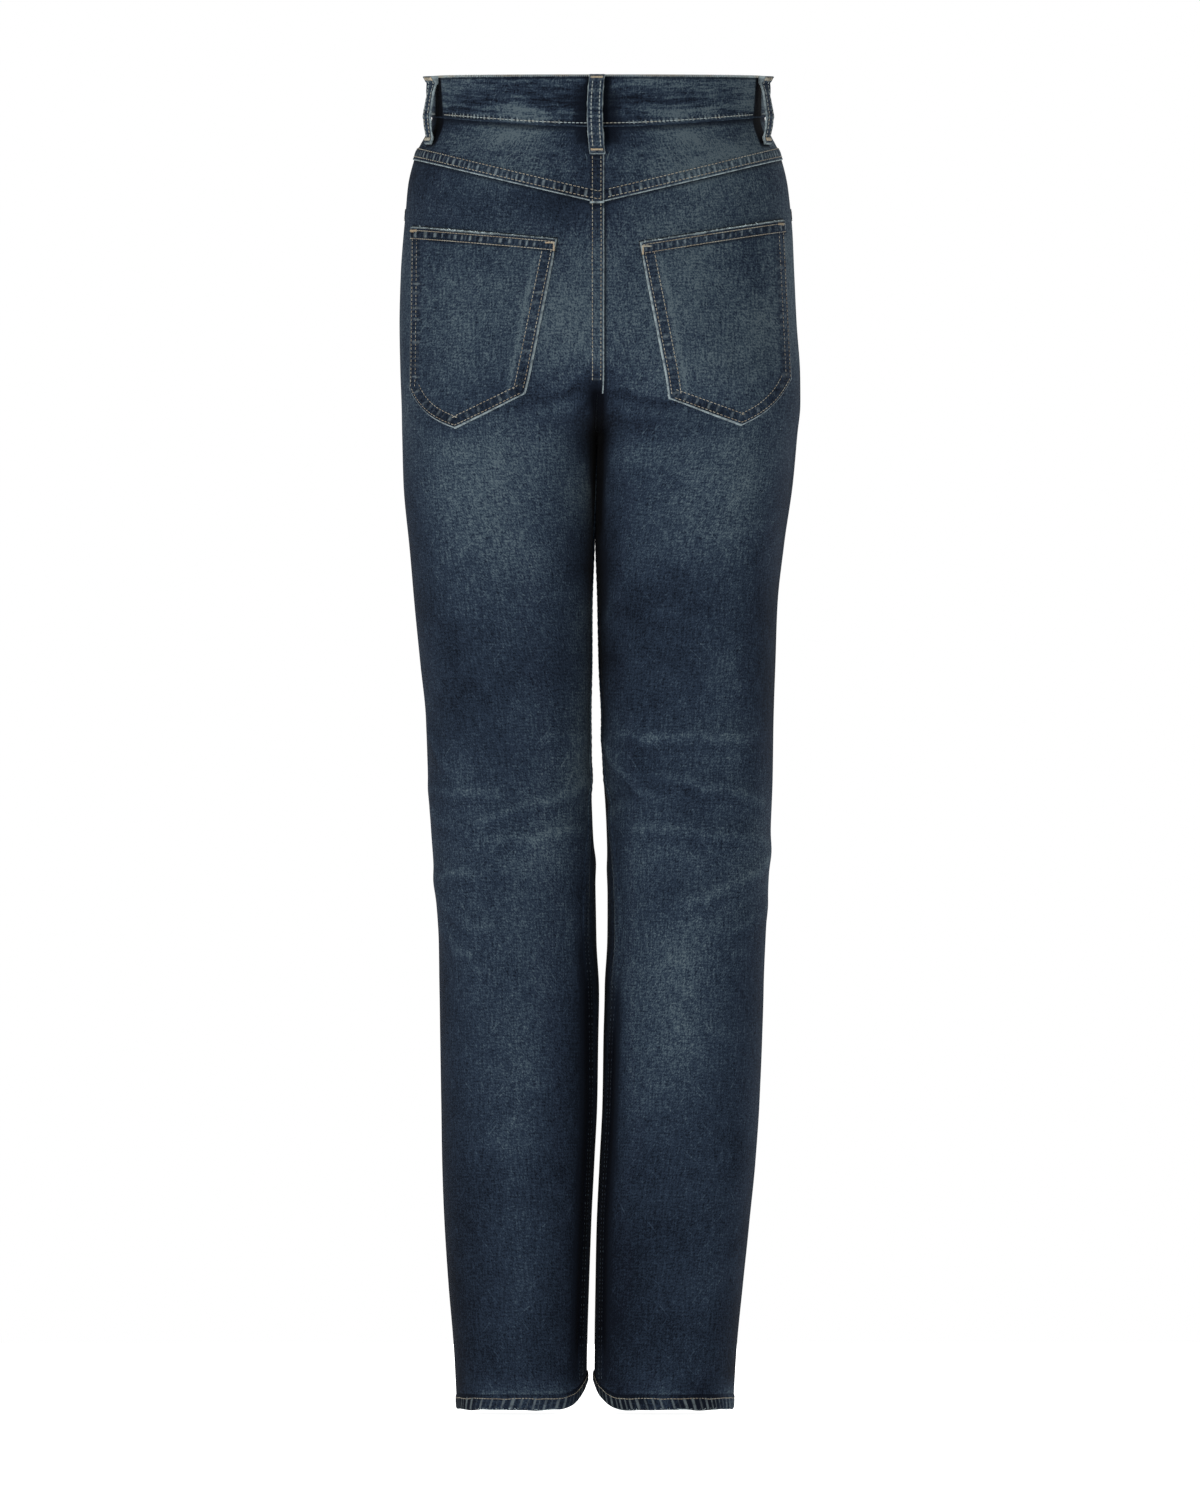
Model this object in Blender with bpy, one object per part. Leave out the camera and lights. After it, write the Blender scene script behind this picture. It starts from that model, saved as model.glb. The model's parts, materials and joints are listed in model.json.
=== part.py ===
"""Straight leg jeans, filled out as when worn, with no wearer in them.

Metres, +Z up. The front faces -Y and the wearer's left is +X. The origin is the centre of the
waistband. A "drop" is a distance below the waistband's top edge at the back. A leg's loop is its
level cross-section: above the fork the two loops run into each other and are cut at the centre plane.
"""

import math
from collections import namedtuple
from functools import lru_cache

import bmesh
import bpy
import numpy as np
from mathutils import Vector

LEFT, RIGHT = 1, -1
BACK, FRONT = 1, -1

# ---------------------------------------------------------------- driving sizes
OUTSEAM = 1.080  # top edge to hem, at the back
TOP_EDGE = 0.021  # height of the top edge above the origin
FORK = 0.290  # drop of the point where the four leg panels meet
CLOTH = 0.0015  # one layer of denim
GAP = 0.0003  # between pieces that meet edge to edge
PLY_GAP = 0.0006  # between a piece and the piece that it lies on
UNDER_GAP = 0.0008  # between a panel and a piece sewn behind it

BAND_PROUD = 0.0010  # the waistband stands out from the panels
BAND_THICK = 0.0029
BAND_TOP_FRONT = 0.012  # drop of the top edge at the centre front
BAND_FOOT_SIDE = 0.0335  # drops of the waistband's lower edge
BAND_FOOT_BACK = 0.0425
BAND_FOOT_FRONT = 0.0500
BAND_LAP = 0.034  # the right end runs on behind the left end
BAND_TUCK_FROM, BAND_TUCK_TO = 0.890, 0.985  # shares between which the right end goes under
BAND_STEPS = 19  # along each quarter

YOKE_FOOT_SIDE = 0.0680
YOKE_FOOT_BACK = 0.1040
FELL_WIDTH = 0.0095  # a felled seam: its width and how far it stands up
FELL_LIFT = 0.0010
FELL_EDGE = 0.0018  # width of the step down beside it

HEM_HEIGHT = 0.0110
HEM_LIFT = 0.0010
HEM_RISE = 0.022  # the hem rises to the innermost line of each leg
HEM_RISE_REACH = 0.062

SCOOP_WIDTH = 0.066  # front pocket mouth, from the side seam
SCOOP_DEPTH = 0.074
SCOOP_SQUARE = 2.5
SCOOP_STEPS = 7
FACING_LAP = 0.020  # the pocket facing runs on behind the front panel

FLY_WIDTH = 0.038
FLY_STRAIGHT = 0.155  # drop where the fly's stitched curve starts
FLY_END = 0.196
ZIP_WIDTH, ZIP_THICK = 0.030, 0.0012
SHIELD_WIDTH = 0.044

LOOP_WIDTH, LOOP_THICK = 0.0135, 0.0018
LOOP_TAIL = 0.0225  # a belt loop ends this far below the waistband
LOOP_SEWN = 0.006  # length sewn down at each end, where the strip is folded under
LOOP_TOP_FOLD, LOOP_FOOT_FOLD = 0.0046, 0.0010  # what the folds add to its thickness
LOOP_BOW = 0.0064  # room for a belt
LOOP_STEPS = 11
SIDE_LOOP_BEHIND = 0.021  # from the side seam
FRONT_LOOP_ACROSS = 0.055  # from the centre front

POCKET_HEM = 0.0095  # turned mouth of a back pocket
POCKET_COLUMNS, POCKET_ROWS = 13, 11

BUTTON_RADIUS, BUTTON_HEIGHT = 0.0085, 0.0042
BUTTON_ACROSS = 0.013

# ---------------------------------------------------------------- the figure
# left, right: half widths; inner: where each leg's loop ends, below zero past the centre plane;
# crest: how far across its foremost and rearmost points lie; front, back: their y;
# square: how flat the loop is from its crest inwards;
# turn: how far behind the innermost line the inseam lies; slant: the fork's sideways lean.
Section = namedtuple("Section", "drop drift left right inner crest front back square turn slant")
SECTIONS = [
    Section(0.000, 0.0000, 0.1328, 0.1328, -0.1328, 0.0000, -0.0930, 0.0990, 2.2, 0.000, 0.0000),
    Section(0.034, 0.0000, 0.1348, 0.1348, -0.1348, 0.0000, -0.0955, 0.1035, 2.2, 0.000, 0.0000),
    Section(0.064, 0.0000, 0.1482, 0.1474, -0.1478, 0.0000, -0.1000, 0.1100, 2.2, 0.000, 0.0000),
    Section(0.090, 0.0000, 0.1545, 0.1536, -0.1540, 0.0000, -0.1030, 0.1160, 2.2, 0.000, 0.0000),
    Section(0.120, 0.0000, 0.1568, 0.1565, -0.1560, 0.0010, -0.1055, 0.1210, 2.2, 0.000, 0.0000),
    Section(0.160, 0.0000, 0.1597, 0.1583, -0.1500, 0.0080, -0.1075, 0.1260, 2.3, 0.000, 0.0000),
    Section(0.200, 0.0000, 0.1607, 0.1602, -0.1320, 0.0240, -0.1080, 0.1280, 2.5, 0.000, 0.0000),
    Section(0.240, 0.0000, 0.1600, 0.1630, -0.0820, 0.0460, -0.1070, 0.1260, 2.8, 0.000, 0.0000),
    Section(0.265, 0.0000, 0.1588, 0.1634, -0.0400, 0.0600, -0.1050, 0.1215, 3.0, 0.000, 0.0012),
    Section(0.290, 0.0003, 0.1577, 0.1612, 0.0003, 0.0715, -0.1025, 0.1150, 3.0, 0.000, 0.0025),
    Section(0.330, 0.0010, 0.1560, 0.1580, 0.0006, 0.0785, -0.0995, 0.1050, 2.9, 0.000, 0.0030),
    Section(0.380, 0.0026, 0.1500, 0.1524, 0.0013, 0.0768, -0.0955, 0.0950, 2.7, 0.000, 0.0022),
    Section(0.425, 0.0028, 0.1461, 0.1477, 0.0028, 0.0749, -0.0920, 0.0880, 2.5, 0.000, 0.0008),
    Section(0.475, 0.0024, 0.1416, 0.1455, 0.0034, 0.0735, -0.0880, 0.0810, 2.4, 0.000, 0.0000),
    Section(0.520, 0.0017, 0.1377, 0.1433, 0.0048, 0.0727, -0.0845, 0.0760, 2.3, 0.004, 0.0000),
    Section(0.570, 0.0008, 0.1368, 0.1416, 0.0050, 0.0721, -0.0815, 0.0720, 2.3, 0.014, 0.0000),
    Section(0.605, -0.0008, 0.1364, 0.1386, 0.0055, 0.0715, -0.0800, 0.0705, 2.3, 0.024, 0.0000),
    Section(0.650, -0.0024, 0.1348, 0.1352, 0.0049, 0.0700, -0.0785, 0.0700, 2.2, 0.034, 0.0000),
    Section(0.700, -0.0028, 0.1318, 0.1322, 0.0043, 0.0681, -0.0775, 0.0715, 2.2, 0.038, 0.0000),
    Section(0.740, -0.0028, 0.1312, 0.1307, 0.0022, 0.0666, -0.0765, 0.0725, 2.2, 0.036, 0.0000),
    Section(0.780, -0.0020, 0.1298, 0.1303, 0.0020, 0.0660, -0.0755, 0.0725, 2.2, 0.033, 0.0000),
    Section(0.830, -0.0012, 0.1282, 0.1290, 0.0020, 0.0653, -0.0745, 0.0710, 2.2, 0.030, 0.0000),
    Section(0.880, 0.0012, 0.1250, 0.1280, 0.0020, 0.0642, -0.0735, 0.0690, 2.2, 0.029, 0.0000),
    Section(0.930, 0.0036, 0.1207, 0.1254, 0.0021, 0.0626, -0.0725, 0.0670, 2.2, 0.028, 0.0000),
    Section(0.980, 0.0050, 0.1160, 0.1216, 0.0025, 0.0606, -0.0715, 0.0650, 2.2, 0.028, 0.0000),
    Section(1.030, 0.0061, 0.1107, 0.1178, 0.0029, 0.0586, -0.0705, 0.0635, 2.2, 0.028, 0.0000),
    Section(1.080, 0.0065, 0.1077, 0.1152, 0.0032, 0.0573, -0.0700, 0.0625, 2.2, 0.028, 0.0000),
]
OUTER_SQUARE = 2.25
LOOP_SAMPLES = 240
PAST_INNER = 0.55  # radians of loop kept past its innermost line
SLANT_DEPTH = 0.05

# The centre seam holds the cloth flat this far beside it, less and less below the fork.
SEAM_HOLD = 0.022
SEAM_HOLD_END = 0.350

# Soft folds. side, face: where; drop, share: the middle, the share being 0 at the side seam and 1 at
# the inner end; half_length, width, height: metres, a height below zero being a trough; tilt: degrees.
Fold = namedtuple("Fold", "side face drop share half_length width height tilt")
FOLDS = [
    # under the seat, out from the fork
    Fold(LEFT, BACK, 0.262, 0.84, 0.046, 0.0100, -0.0030, -14),
    Fold(RIGHT, BACK, 0.266, 0.80, 0.060, 0.0105, -0.0036, -8),
    Fold(RIGHT, BACK, 0.300, 0.84, 0.050, 0.0120, 0.0022, -24),
    Fold(LEFT, BACK, 0.304, 0.86, 0.042, 0.0120, 0.0018, -30),
    # behind the left knee
    Fold(LEFT, BACK, 0.536, 0.74, 0.044, 0.0095, 0.0020, 0),
    Fold(LEFT, BACK, 0.548, 0.20, 0.036, 0.0100, 0.0022, 38),
    Fold(LEFT, BACK, 0.580, 0.27, 0.048, 0.0095, 0.0024, 3),
    Fold(LEFT, BACK, 0.585, 0.72, 0.062, 0.0100, 0.0030, -17),
    Fold(LEFT, BACK, 0.604, 0.22, 0.034, 0.0095, 0.0018, 18),
    Fold(LEFT, BACK, 0.616, 0.68, 0.058, 0.0100, 0.0026, -8),
    Fold(LEFT, BACK, 0.648, 0.28, 0.050, 0.0100, 0.0024, -4),
    Fold(LEFT, BACK, 0.679, 0.30, 0.044, 0.0100, 0.0022, 24),
    Fold(LEFT, BACK, 0.702, 0.26, 0.036, 0.0105, 0.0018, 30),
    # behind the right knee
    Fold(RIGHT, BACK, 0.536, 0.55, 0.068, 0.0100, 0.0030, 0),
    Fold(RIGHT, BACK, 0.560, 0.82, 0.044, 0.0100, 0.0026, -38),
    Fold(RIGHT, BACK, 0.576, 0.46, 0.062, 0.0095, 0.0026, -12),
    Fold(RIGHT, BACK, 0.586, 0.92, 0.030, 0.0095, -0.0026, 8),
    Fold(RIGHT, BACK, 0.614, 0.48, 0.074, 0.0100, 0.0026, -5),
    Fold(RIGHT, BACK, 0.652, 0.34, 0.066, 0.0100, 0.0030, 22),
    Fold(RIGHT, BACK, 0.684, 0.26, 0.044, 0.0100, 0.0020, 17),
    # in front, from the fork and round the knees
    Fold(LEFT, FRONT, 0.236, 0.74, 0.052, 0.0100, 0.0026, -24),
    Fold(RIGHT, FRONT, 0.232, 0.76, 0.056, 0.0105, 0.0028, -22),
    Fold(LEFT, FRONT, 0.262, 0.70, 0.048, 0.0100, 0.0020, -34),
    Fold(RIGHT, FRONT, 0.266, 0.68, 0.050, 0.0100, 0.0022, -32),
    Fold(LEFT, FRONT, 0.560, 0.72, 0.050, 0.0110, 0.0022, -14),
    Fold(RIGHT, FRONT, 0.552, 0.74, 0.046, 0.0110, 0.0022, -12),
    Fold(LEFT, FRONT, 0.628, 0.66, 0.058, 0.0110, 0.0022, 10),
    Fold(RIGHT, FRONT, 0.634, 0.60, 0.062, 0.0110, 0.0024, 8),
    Fold(LEFT, FRONT, 0.664, 0.30, 0.046, 0.0110, 0.0018, -16),
    Fold(RIGHT, FRONT, 0.600, 0.26, 0.044, 0.0110, 0.0018, 14),
]

# Outline of each back pocket as seen square from behind: across from the centre plane, and drop.
Corner = namedtuple("Corner", "across drop")
PocketShape = namedtuple("PocketShape", "mouth_outer mouth_inner foot_outer foot_tip foot_inner tip_share")
POCKETS = {
    LEFT: PocketShape(
        Corner(0.1500, 0.1228), Corner(0.0335, 0.1335), Corner(0.1512, 0.2530),
        Corner(0.1125, 0.2855), Corner(0.0588, 0.2580), 0.44,
    ),
    RIGHT: PocketShape(
        Corner(0.1487, 0.1172), Corner(0.0335, 0.1363), Corner(0.1548, 0.2455),
        Corner(0.1172, 0.2832), Corner(0.0585, 0.2622), 0.42,
    ),
}

# Each leg panel is three nodes, parted at these drops, so that each hollow is a simple one.
PANEL_PARTS = ("hip", "knee", "calf")
PANEL_CUTS = (0.430, 0.740)

# Level rows of the leg panels below the pockets: up to each drop, at that spacing.
RowZone = namedtuple("RowZone", "until spacing")
ROW_ZONES = [
    RowZone(0.250, 0.0120),
    RowZone(0.2815, 0.0079),
    RowZone(0.290, 0.0043),
    RowZone(0.314, 0.0120),
    RowZone(0.430, 0.0233),
    RowZone(0.500, 0.0233),
    RowZone(0.710, 0.0132),
    RowZone(0.740, 0.0300),
    RowZone(0.980, 0.0600),
    RowZone(1.060, 0.0400),
]
PANEL_COLUMNS = 10  # spaces between the side seam and the seam strip
EVEN_ABOVE, EVEN_BELOW = 0.215, 0.430  # drops between which the columns are spread unevenly
STEADY_LINE = 0.018  # its distance from the centre plane
HEM_FADE_FROM = 0.980  # rows below follow the hem's rise more and more
BACK_LEVEL = 0.202  # rows are level from here down
FRONT_LEVEL = 0.138
TOP_ROWS = 5

Finish = namedtuple("Finish", "colour roughness metallic")
FINISHES = {
    "denim": Finish((0.030, 0.058, 0.090), 0.92, 0.0),
    "denim_band": Finish((0.024, 0.047, 0.074), 0.92, 0.0),
    "denim_faded": Finish((0.044, 0.075, 0.100), 0.92, 0.0),
    "metal": Finish((0.30, 0.22, 0.14), 0.38, 1.0),
    "tape": Finish((0.020, 0.028, 0.045), 0.85, 0.0),
}


# ---------------------------------------------------------------- the surface
def smooth(value):
    """0 to 1, level at both ends."""
    t = min(1.0, max(0.0, value))
    return t * t * (3 - 2 * t)


def slopes_through(drops, values):
    """Slopes of a cubic through the values that never overshoots them."""
    step = np.diff(values) / np.diff(drops)
    slopes = np.concatenate([[step[0]], np.zeros(len(step) - 1), [step[-1]]])
    same_way = step[:-1] * step[1:] > 0
    product, total = step[:-1] * step[1:], step[:-1] + step[1:]
    slopes[1:-1][same_way] = 2 * product[same_way] / total[same_way]
    return slopes


DROPS = np.array([row.drop for row in SECTIONS])
VALUES = np.array(SECTIONS)
SLOPES = np.stack([slopes_through(DROPS, column) for column in VALUES.T], axis=1)


@lru_cache(maxsize=None)
def section(drop):
    """The table's row at any drop."""
    i = int(np.clip(np.searchsorted(DROPS, drop) - 1, 0, len(DROPS) - 2))
    span = DROPS[i + 1] - DROPS[i]
    t = (drop - DROPS[i]) / span
    near, far = (1 + 2 * t) * (1 - t) ** 2, t * t * (3 - 2 * t)
    lean_near, lean_far = t * (1 - t) ** 2 * span, t * t * (t - 1) * span
    row = near * VALUES[i] + far * VALUES[i + 1] + lean_near * SLOPES[i] + lean_far * SLOPES[i + 1]
    return Section(*row)


LoopLine = namedtuple("LoopLine", "angle x y along start reach innermost")


def on_section(side, face, drop, angle):
    """A level section's points: angle 0 is the side seam, and pi the loop's innermost line."""
    row = section(drop)
    out = row.left if side == LEFT else row.right
    middle_y, half_y = (row.front + row.back) / 2, (row.back - row.front) / 2
    outer_half = np.cos(angle) > 0
    power = 2 / np.where(outer_half, OUTER_SQUARE, row.square)
    reach_x = np.where(outer_half, out - row.crest, row.inner - row.crest)
    x = row.crest + reach_x * np.abs(np.cos(angle)) ** power
    y = middle_y + face * half_y * np.sign(np.sin(angle)) * np.abs(np.sin(angle)) ** power
    return x, y


@lru_cache(maxsize=None)
def loop_line(side, face, drop):
    """One half of a leg's loop, from the side seam to its inner end, where the next panel meets it."""
    row = section(drop)
    angle = np.linspace(0, math.pi + PAST_INNER, LOOP_SAMPLES)
    x, y = on_section(side, face, drop, angle)
    along = np.concatenate([[0], np.cumsum(np.hypot(np.diff(x), np.diff(y)))])
    innermost = float(np.interp(math.pi, angle, along))
    if row.inner < GAP / 2:
        first = int(np.argmax(x < GAP / 2))
        end = float(np.interp(-GAP / 2, -x[: first + 1], along[: first + 1]))
    else:
        end = innermost - face * row.turn - GAP / 2
    return LoopLine(angle, x, y, along, GAP / 2, end - GAP / 2, innermost)


def on_loop(side, face, drop, share):
    """A point of the bare figure, on the positive side of the centre plane."""
    line = loop_line(side, face, drop)
    at = line.start + share * line.reach
    return np.array([np.interp(at, line.along, line.x), np.interp(at, line.along, line.y), TOP_EDGE - drop])


def outward(side, face, drop, share):
    """The figure's normal there."""
    line = loop_line(side, face, drop)
    step_angle, step_drop = 0.02, 0.002
    angle = float(np.interp(line.start + share * line.reach, line.along, line.angle))
    angle = max(angle, 2 * step_angle)
    spots = [(drop, angle - step_angle), (drop, angle + step_angle)]
    spots += [(drop - step_drop, angle), (drop + step_drop, angle)]
    before, after, above, below = [
        np.array([*on_section(side, face, level, turn), -level]) for level, turn in spots
    ]
    normal = face * np.cross(below - above, after - before)
    return normal / np.linalg.norm(normal)


def beside_fold(fold, side, face, drop, share):
    """Distance along the cloth from a fold's middle to a point on its panel, or on the one beside it."""
    here = loop_line(side, face, drop).reach
    there = loop_line(side, fold.face, drop).reach
    if fold.face == face:
        return (share - fold.share) * here
    inner = (1 - fold.share) * there + (1 - share) * here
    outer = fold.share * there + share * here
    return inner if drop > FORK and inner < outer else -outer


def relief(side, face, drop, share):
    """How far the folds lift the cloth there."""
    total = 0.0
    for fold in FOLDS:
        z = drop - fold.drop
        if fold.side != side or abs(z) > 0.09:
            continue
        x = beside_fold(fold, side, face, drop, share)
        tilt = math.radians(fold.tilt)
        along = (x * math.cos(tilt) + z * math.sin(tilt)) / fold.half_length
        beside = (z * math.cos(tilt) - x * math.sin(tilt)) / fold.width
        total += fold.height * math.exp(-beside * beside - along**4)
    return total


def cloth(side, face, drop, share, out=0.0):
    """A point of the garment, moved out from its outer surface by that distance."""
    normal = outward(side, face, drop, share)
    point = on_loop(side, face, drop, share)
    held = smooth((SEAM_HOLD_END - drop) / (SEAM_HOLD_END - FORK)) * (1 - smooth(point[0] / SEAM_HOLD))
    raised = relief(side, face, drop, share) * (1 - held)
    if normal[0] < 0:
        raised = min(raised, 0.5 * point[0] / -normal[0])
    point = point + (raised + out) * normal
    if drop < FORK:
        point[0] = max(point[0], GAP / 2)
    row = section(drop)
    lean = row.slant * math.tanh(point[1] / SLANT_DEPTH)
    return Vector((side * point[0] + row.drift + lean, point[1], point[2]))


def share_at(side, face, drop, across):
    """The share at which the surface is that far across from the centre plane."""
    line = loop_line(side, face, drop)
    outer = line.angle < math.pi
    at = float(np.interp(-across, -line.x[outer], line.along[outer]))
    return min(1.0, max(0.0, (at - line.start) / line.reach))


def spot(face, drop, across, out=0.0):
    """A point by its signed distance across: +X is the wearer's left."""
    side = LEFT if across >= 0 else RIGHT
    return cloth(side, face, drop, share_at(side, face, drop, abs(across)), out)


# ---------------------------------------------------------------- edges
def band_top(face, share):
    return BAND_TOP_FRONT * math.sin(share * math.pi / 2) ** 2 if face == FRONT else 0.0


def band_foot(face, share):
    middle = BAND_FOOT_FRONT if face == FRONT else BAND_FOOT_BACK
    return BAND_FOOT_SIDE + (middle - BAND_FOOT_SIDE) * math.sin(share * math.pi / 2) ** 2


def yoke_foot(side, share):
    """Straight from the side seam to the centre back, seen from behind."""
    level = (YOKE_FOOT_SIDE + YOKE_FOOT_BACK) / 2
    x = on_loop(side, BACK, level, share)[0]
    widest = on_loop(side, BACK, level, 0.0)[0]
    return YOKE_FOOT_BACK + (YOKE_FOOT_SIDE - YOKE_FOOT_BACK) * x / widest


def hem_rise(side, face, share):
    line = loop_line(side, face, OUTSEAM)
    away = abs(line.innermost - line.start - share * line.reach) / HEM_RISE_REACH
    return HEM_RISE * smooth(1 - away)


def seam_strip(side, face, drop):
    """Width of the raised strip at the panel's inner end: the felled seam, or the fly above it."""
    if face == FRONT and side == LEFT and drop < FLY_END:
        curve = max(0.0, (drop - FLY_STRAIGHT) / (FLY_END - FLY_STRAIGHT))
        return FELL_WIDTH + (FLY_WIDTH - FELL_WIDTH) * math.sqrt(1 - curve**2)
    return FELL_WIDTH


def strip_lift(side, drop):
    """Only the left panels carry the strip, and it sinks to nothing at the fork."""
    return FELL_LIFT * smooth((FORK - drop) / 0.03) if side == LEFT else 0.0


def evenness(side, face, drop):
    """How evenly a row's columns are spread. Near the fork the reach changes fast, so there the columns
    keep their places out to a steady line, and those beyond it take up the change."""
    near = smooth((drop - EVEN_ABOVE) / 0.04) * smooth((EVEN_BELOW - drop) / 0.12)
    return 1 - near * (1 - share_at(side, face, drop, STEADY_LINE))


def panel_shares(side, face, drop, first=0.0):
    """Shares of a row's columns, with three close to the inner end, and the lift of each."""
    reach = loop_line(side, face, drop).reach
    strip = seam_strip(side, face, drop)
    foot = 1 - (strip + FELL_EDGE) / reach
    even = evenness(side, face, drop)
    places = [first + (foot - first) * k / PANEL_COLUMNS for k in range(PANEL_COLUMNS + 1)]
    shares = [even * place + (1 - even) * foot * (place / foot) ** 6 for place in places]
    shares += [1 - strip / reach, 1 - strip / reach / 2, 1.0]
    lift = strip_lift(side, drop)
    return shares, [0.0] * (PANEL_COLUMNS + 1) + [lift] * 3


# ---------------------------------------------------------------- building
def finish_of(name):
    material = bpy.data.materials.get(name)
    if material is None:
        finish = FINISHES[name]
        material = bpy.data.materials.new(name)
        material.use_nodes = True
        shader = material.node_tree.nodes["Principled BSDF"]
        shader.inputs["Base Color"].default_value = (*finish.colour, 1.0)
        shader.inputs["Roughness"].default_value = finish.roughness
        shader.inputs["Metallic"].default_value = finish.metallic
        material.diffuse_color = (*finish.colour, 1.0)
    return material


def add_object(name, shape, finish, sharp_angle=40.0):
    """Turns a bmesh into a named, shaded object."""
    bmesh.ops.recalc_face_normals(shape, faces=shape.faces)
    mesh = bpy.data.meshes.new(name)
    shape.to_mesh(mesh)
    shape.free()
    mesh.materials.append(finish_of(finish))
    mesh.shade_smooth()
    mesh.set_sharp_from_angle(angle=math.radians(sharp_angle))
    item = bpy.data.objects.new(name, mesh)
    bpy.context.scene.collection.objects.link(item)
    return item


def wall(name, outer, inner, finish):
    """One closed wall between an outer and an inner grid of points."""
    shape = bmesh.new()
    rows, columns = len(outer), len(outer[0])
    sheets = [[[shape.verts.new(point) for point in row] for row in grid] for grid in (outer, inner)]
    for sheet in sheets:
        for i in range(rows - 1):
            for j in range(columns - 1):
                shape.faces.new((sheet[i][j], sheet[i][j + 1], sheet[i + 1][j + 1], sheet[i + 1][j]))
    rim = [(0, j) for j in range(columns)] + [(i, columns - 1) for i in range(1, rows)]
    rim += [(rows - 1, j) for j in range(columns - 2, -1, -1)] + [(i, 0) for i in range(rows - 2, 0, -1)]
    over, under = sheets
    for (i, j), (m, n) in zip(rim, rim[1:] + rim[:1]):
        shape.faces.new((over[i][j], over[m][n], under[m][n], under[i][j]))
    return add_object(name, shape, finish)


# A row of a leg panel: its share of the way down from the top edge, or else its level drop, and the
# share at which it starts.
PanelRow = namedtuple("PanelRow", "part_down level first")


def level_rows(start):
    """The level rows below start, down to the hem. Two rows, a gap apart, part the nodes at a cut."""
    drops = []
    for zone in ROW_ZONES:
        if start < zone.until:
            count = max(1, round((zone.until - start) / zone.spacing))
            drops += [start + (zone.until - start) * k / count for k in range(1, count + 1)]
            start = zone.until
        if zone.until in PANEL_CUTS:
            drops[-1:] = [zone.until - GAP / 2, zone.until + GAP / 2]
    drops += [OUTSEAM - HEM_HEIGHT - FELL_EDGE, OUTSEAM - HEM_HEIGHT, OUTSEAM]
    return [PanelRow(None, drop, 0.0) for drop in drops]


def panel_drop(side, face, row, share):
    """Rows follow the top edge where they start, are level lower down, and follow the hem at the end."""
    if row.level is not None:
        fade = max(0.0, (row.level - HEM_FADE_FROM) / (OUTSEAM - HEM_FADE_FROM))
        return row.level - hem_rise(side, face, share) * fade
    if face == BACK:
        top, settled = yoke_foot(side, share) + GAP, BACK_LEVEL
    else:
        top, settled = band_foot(face, share) + GAP, FRONT_LEVEL
    return top + (settled - top) * row.part_down


def leg_panel(name, side, face, rows):
    """A leg panel from its top edge to the hem, as one node for each stretch between cuts."""
    outer, inner = [], []
    top = YOKE_FOOT_SIDE if face == BACK else BAND_FOOT_SIDE
    settled = BACK_LEVEL if face == BACK else FRONT_LEVEL
    for row in rows:
        level = row.level or top + (settled - top) * row.part_down
        shares, lifts = panel_shares(side, face, level, row.first)
        hem = HEM_LIFT if level >= OUTSEAM - HEM_HEIGHT else 0.0
        places = [(panel_drop(side, face, row, share), share) for share in shares]
        outer.append([cloth(side, face, *place, max(lift, hem)) for place, lift in zip(places, lifts)])
        inner.append([cloth(side, face, *place, -CLOTH - hem) for place in places])
    starts = [0] + [i for i, row in enumerate(rows) if row.level and row.level - GAP / 2 in PANEL_CUTS]
    for part, first, last in zip(PANEL_PARTS, starts, starts[1:] + [len(rows)]):
        wall(f"{name}_{part}", outer[first:last], inner[first:last], "denim")


def back_panel(name, side):
    rows = [PanelRow(k / TOP_ROWS, None, 0.0) for k in range(TOP_ROWS + 1)]
    leg_panel(name, side, BACK, rows + level_rows(BACK_LEVEL))


def scoop(part):
    """The pocket mouth at a share of its quarter turn: (distance from the side seam, drop below the band)."""
    angle = part * math.pi / 2
    power = 2 / SCOOP_SQUARE
    return SCOOP_WIDTH * math.cos(angle) ** power, SCOOP_DEPTH * math.sin(angle) ** power


def front_panel(name, side):
    """Its upper rows start at the pocket mouth."""
    depth = FRONT_LEVEL - BAND_FOOT_SIDE
    rows = []
    for k in range(SCOOP_STEPS):
        away, below = scoop(k / SCOOP_STEPS)
        reach = loop_line(side, FRONT, BAND_FOOT_SIDE + below).reach
        rows.append(PanelRow(below / depth, None, away / reach))
    rows += [PanelRow(SCOOP_DEPTH / depth, None, 0.0), PanelRow(1.0, None, 0.0)]
    leg_panel(name, side, FRONT, rows + level_rows(FRONT_LEVEL))


def yoke(name, side):
    """Between the waistband and the back panel, its foot turned and raised over the panel's edge."""
    outer, inner = [], []
    shares, lifts = panel_shares(side, BACK, (BAND_FOOT_BACK + YOKE_FOOT_BACK) / 2)
    for share, lift in zip(shares, lifts):
        top, foot = band_foot(BACK, share) + GAP, yoke_foot(side, share)
        plain_end = foot - FELL_WIDTH - FELL_EDGE
        drops = [top, (top + plain_end) / 2, plain_end, foot - FELL_WIDTH, foot]
        felled = [lift, lift, lift, FELL_LIFT, FELL_LIFT]
        outer.append([cloth(side, BACK, drop, share, up) for drop, up in zip(drops, felled)])
        inner.append([cloth(side, BACK, drop, share, -CLOTH) for drop in drops])
    return wall(name, outer, inner, "denim_faded")


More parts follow.
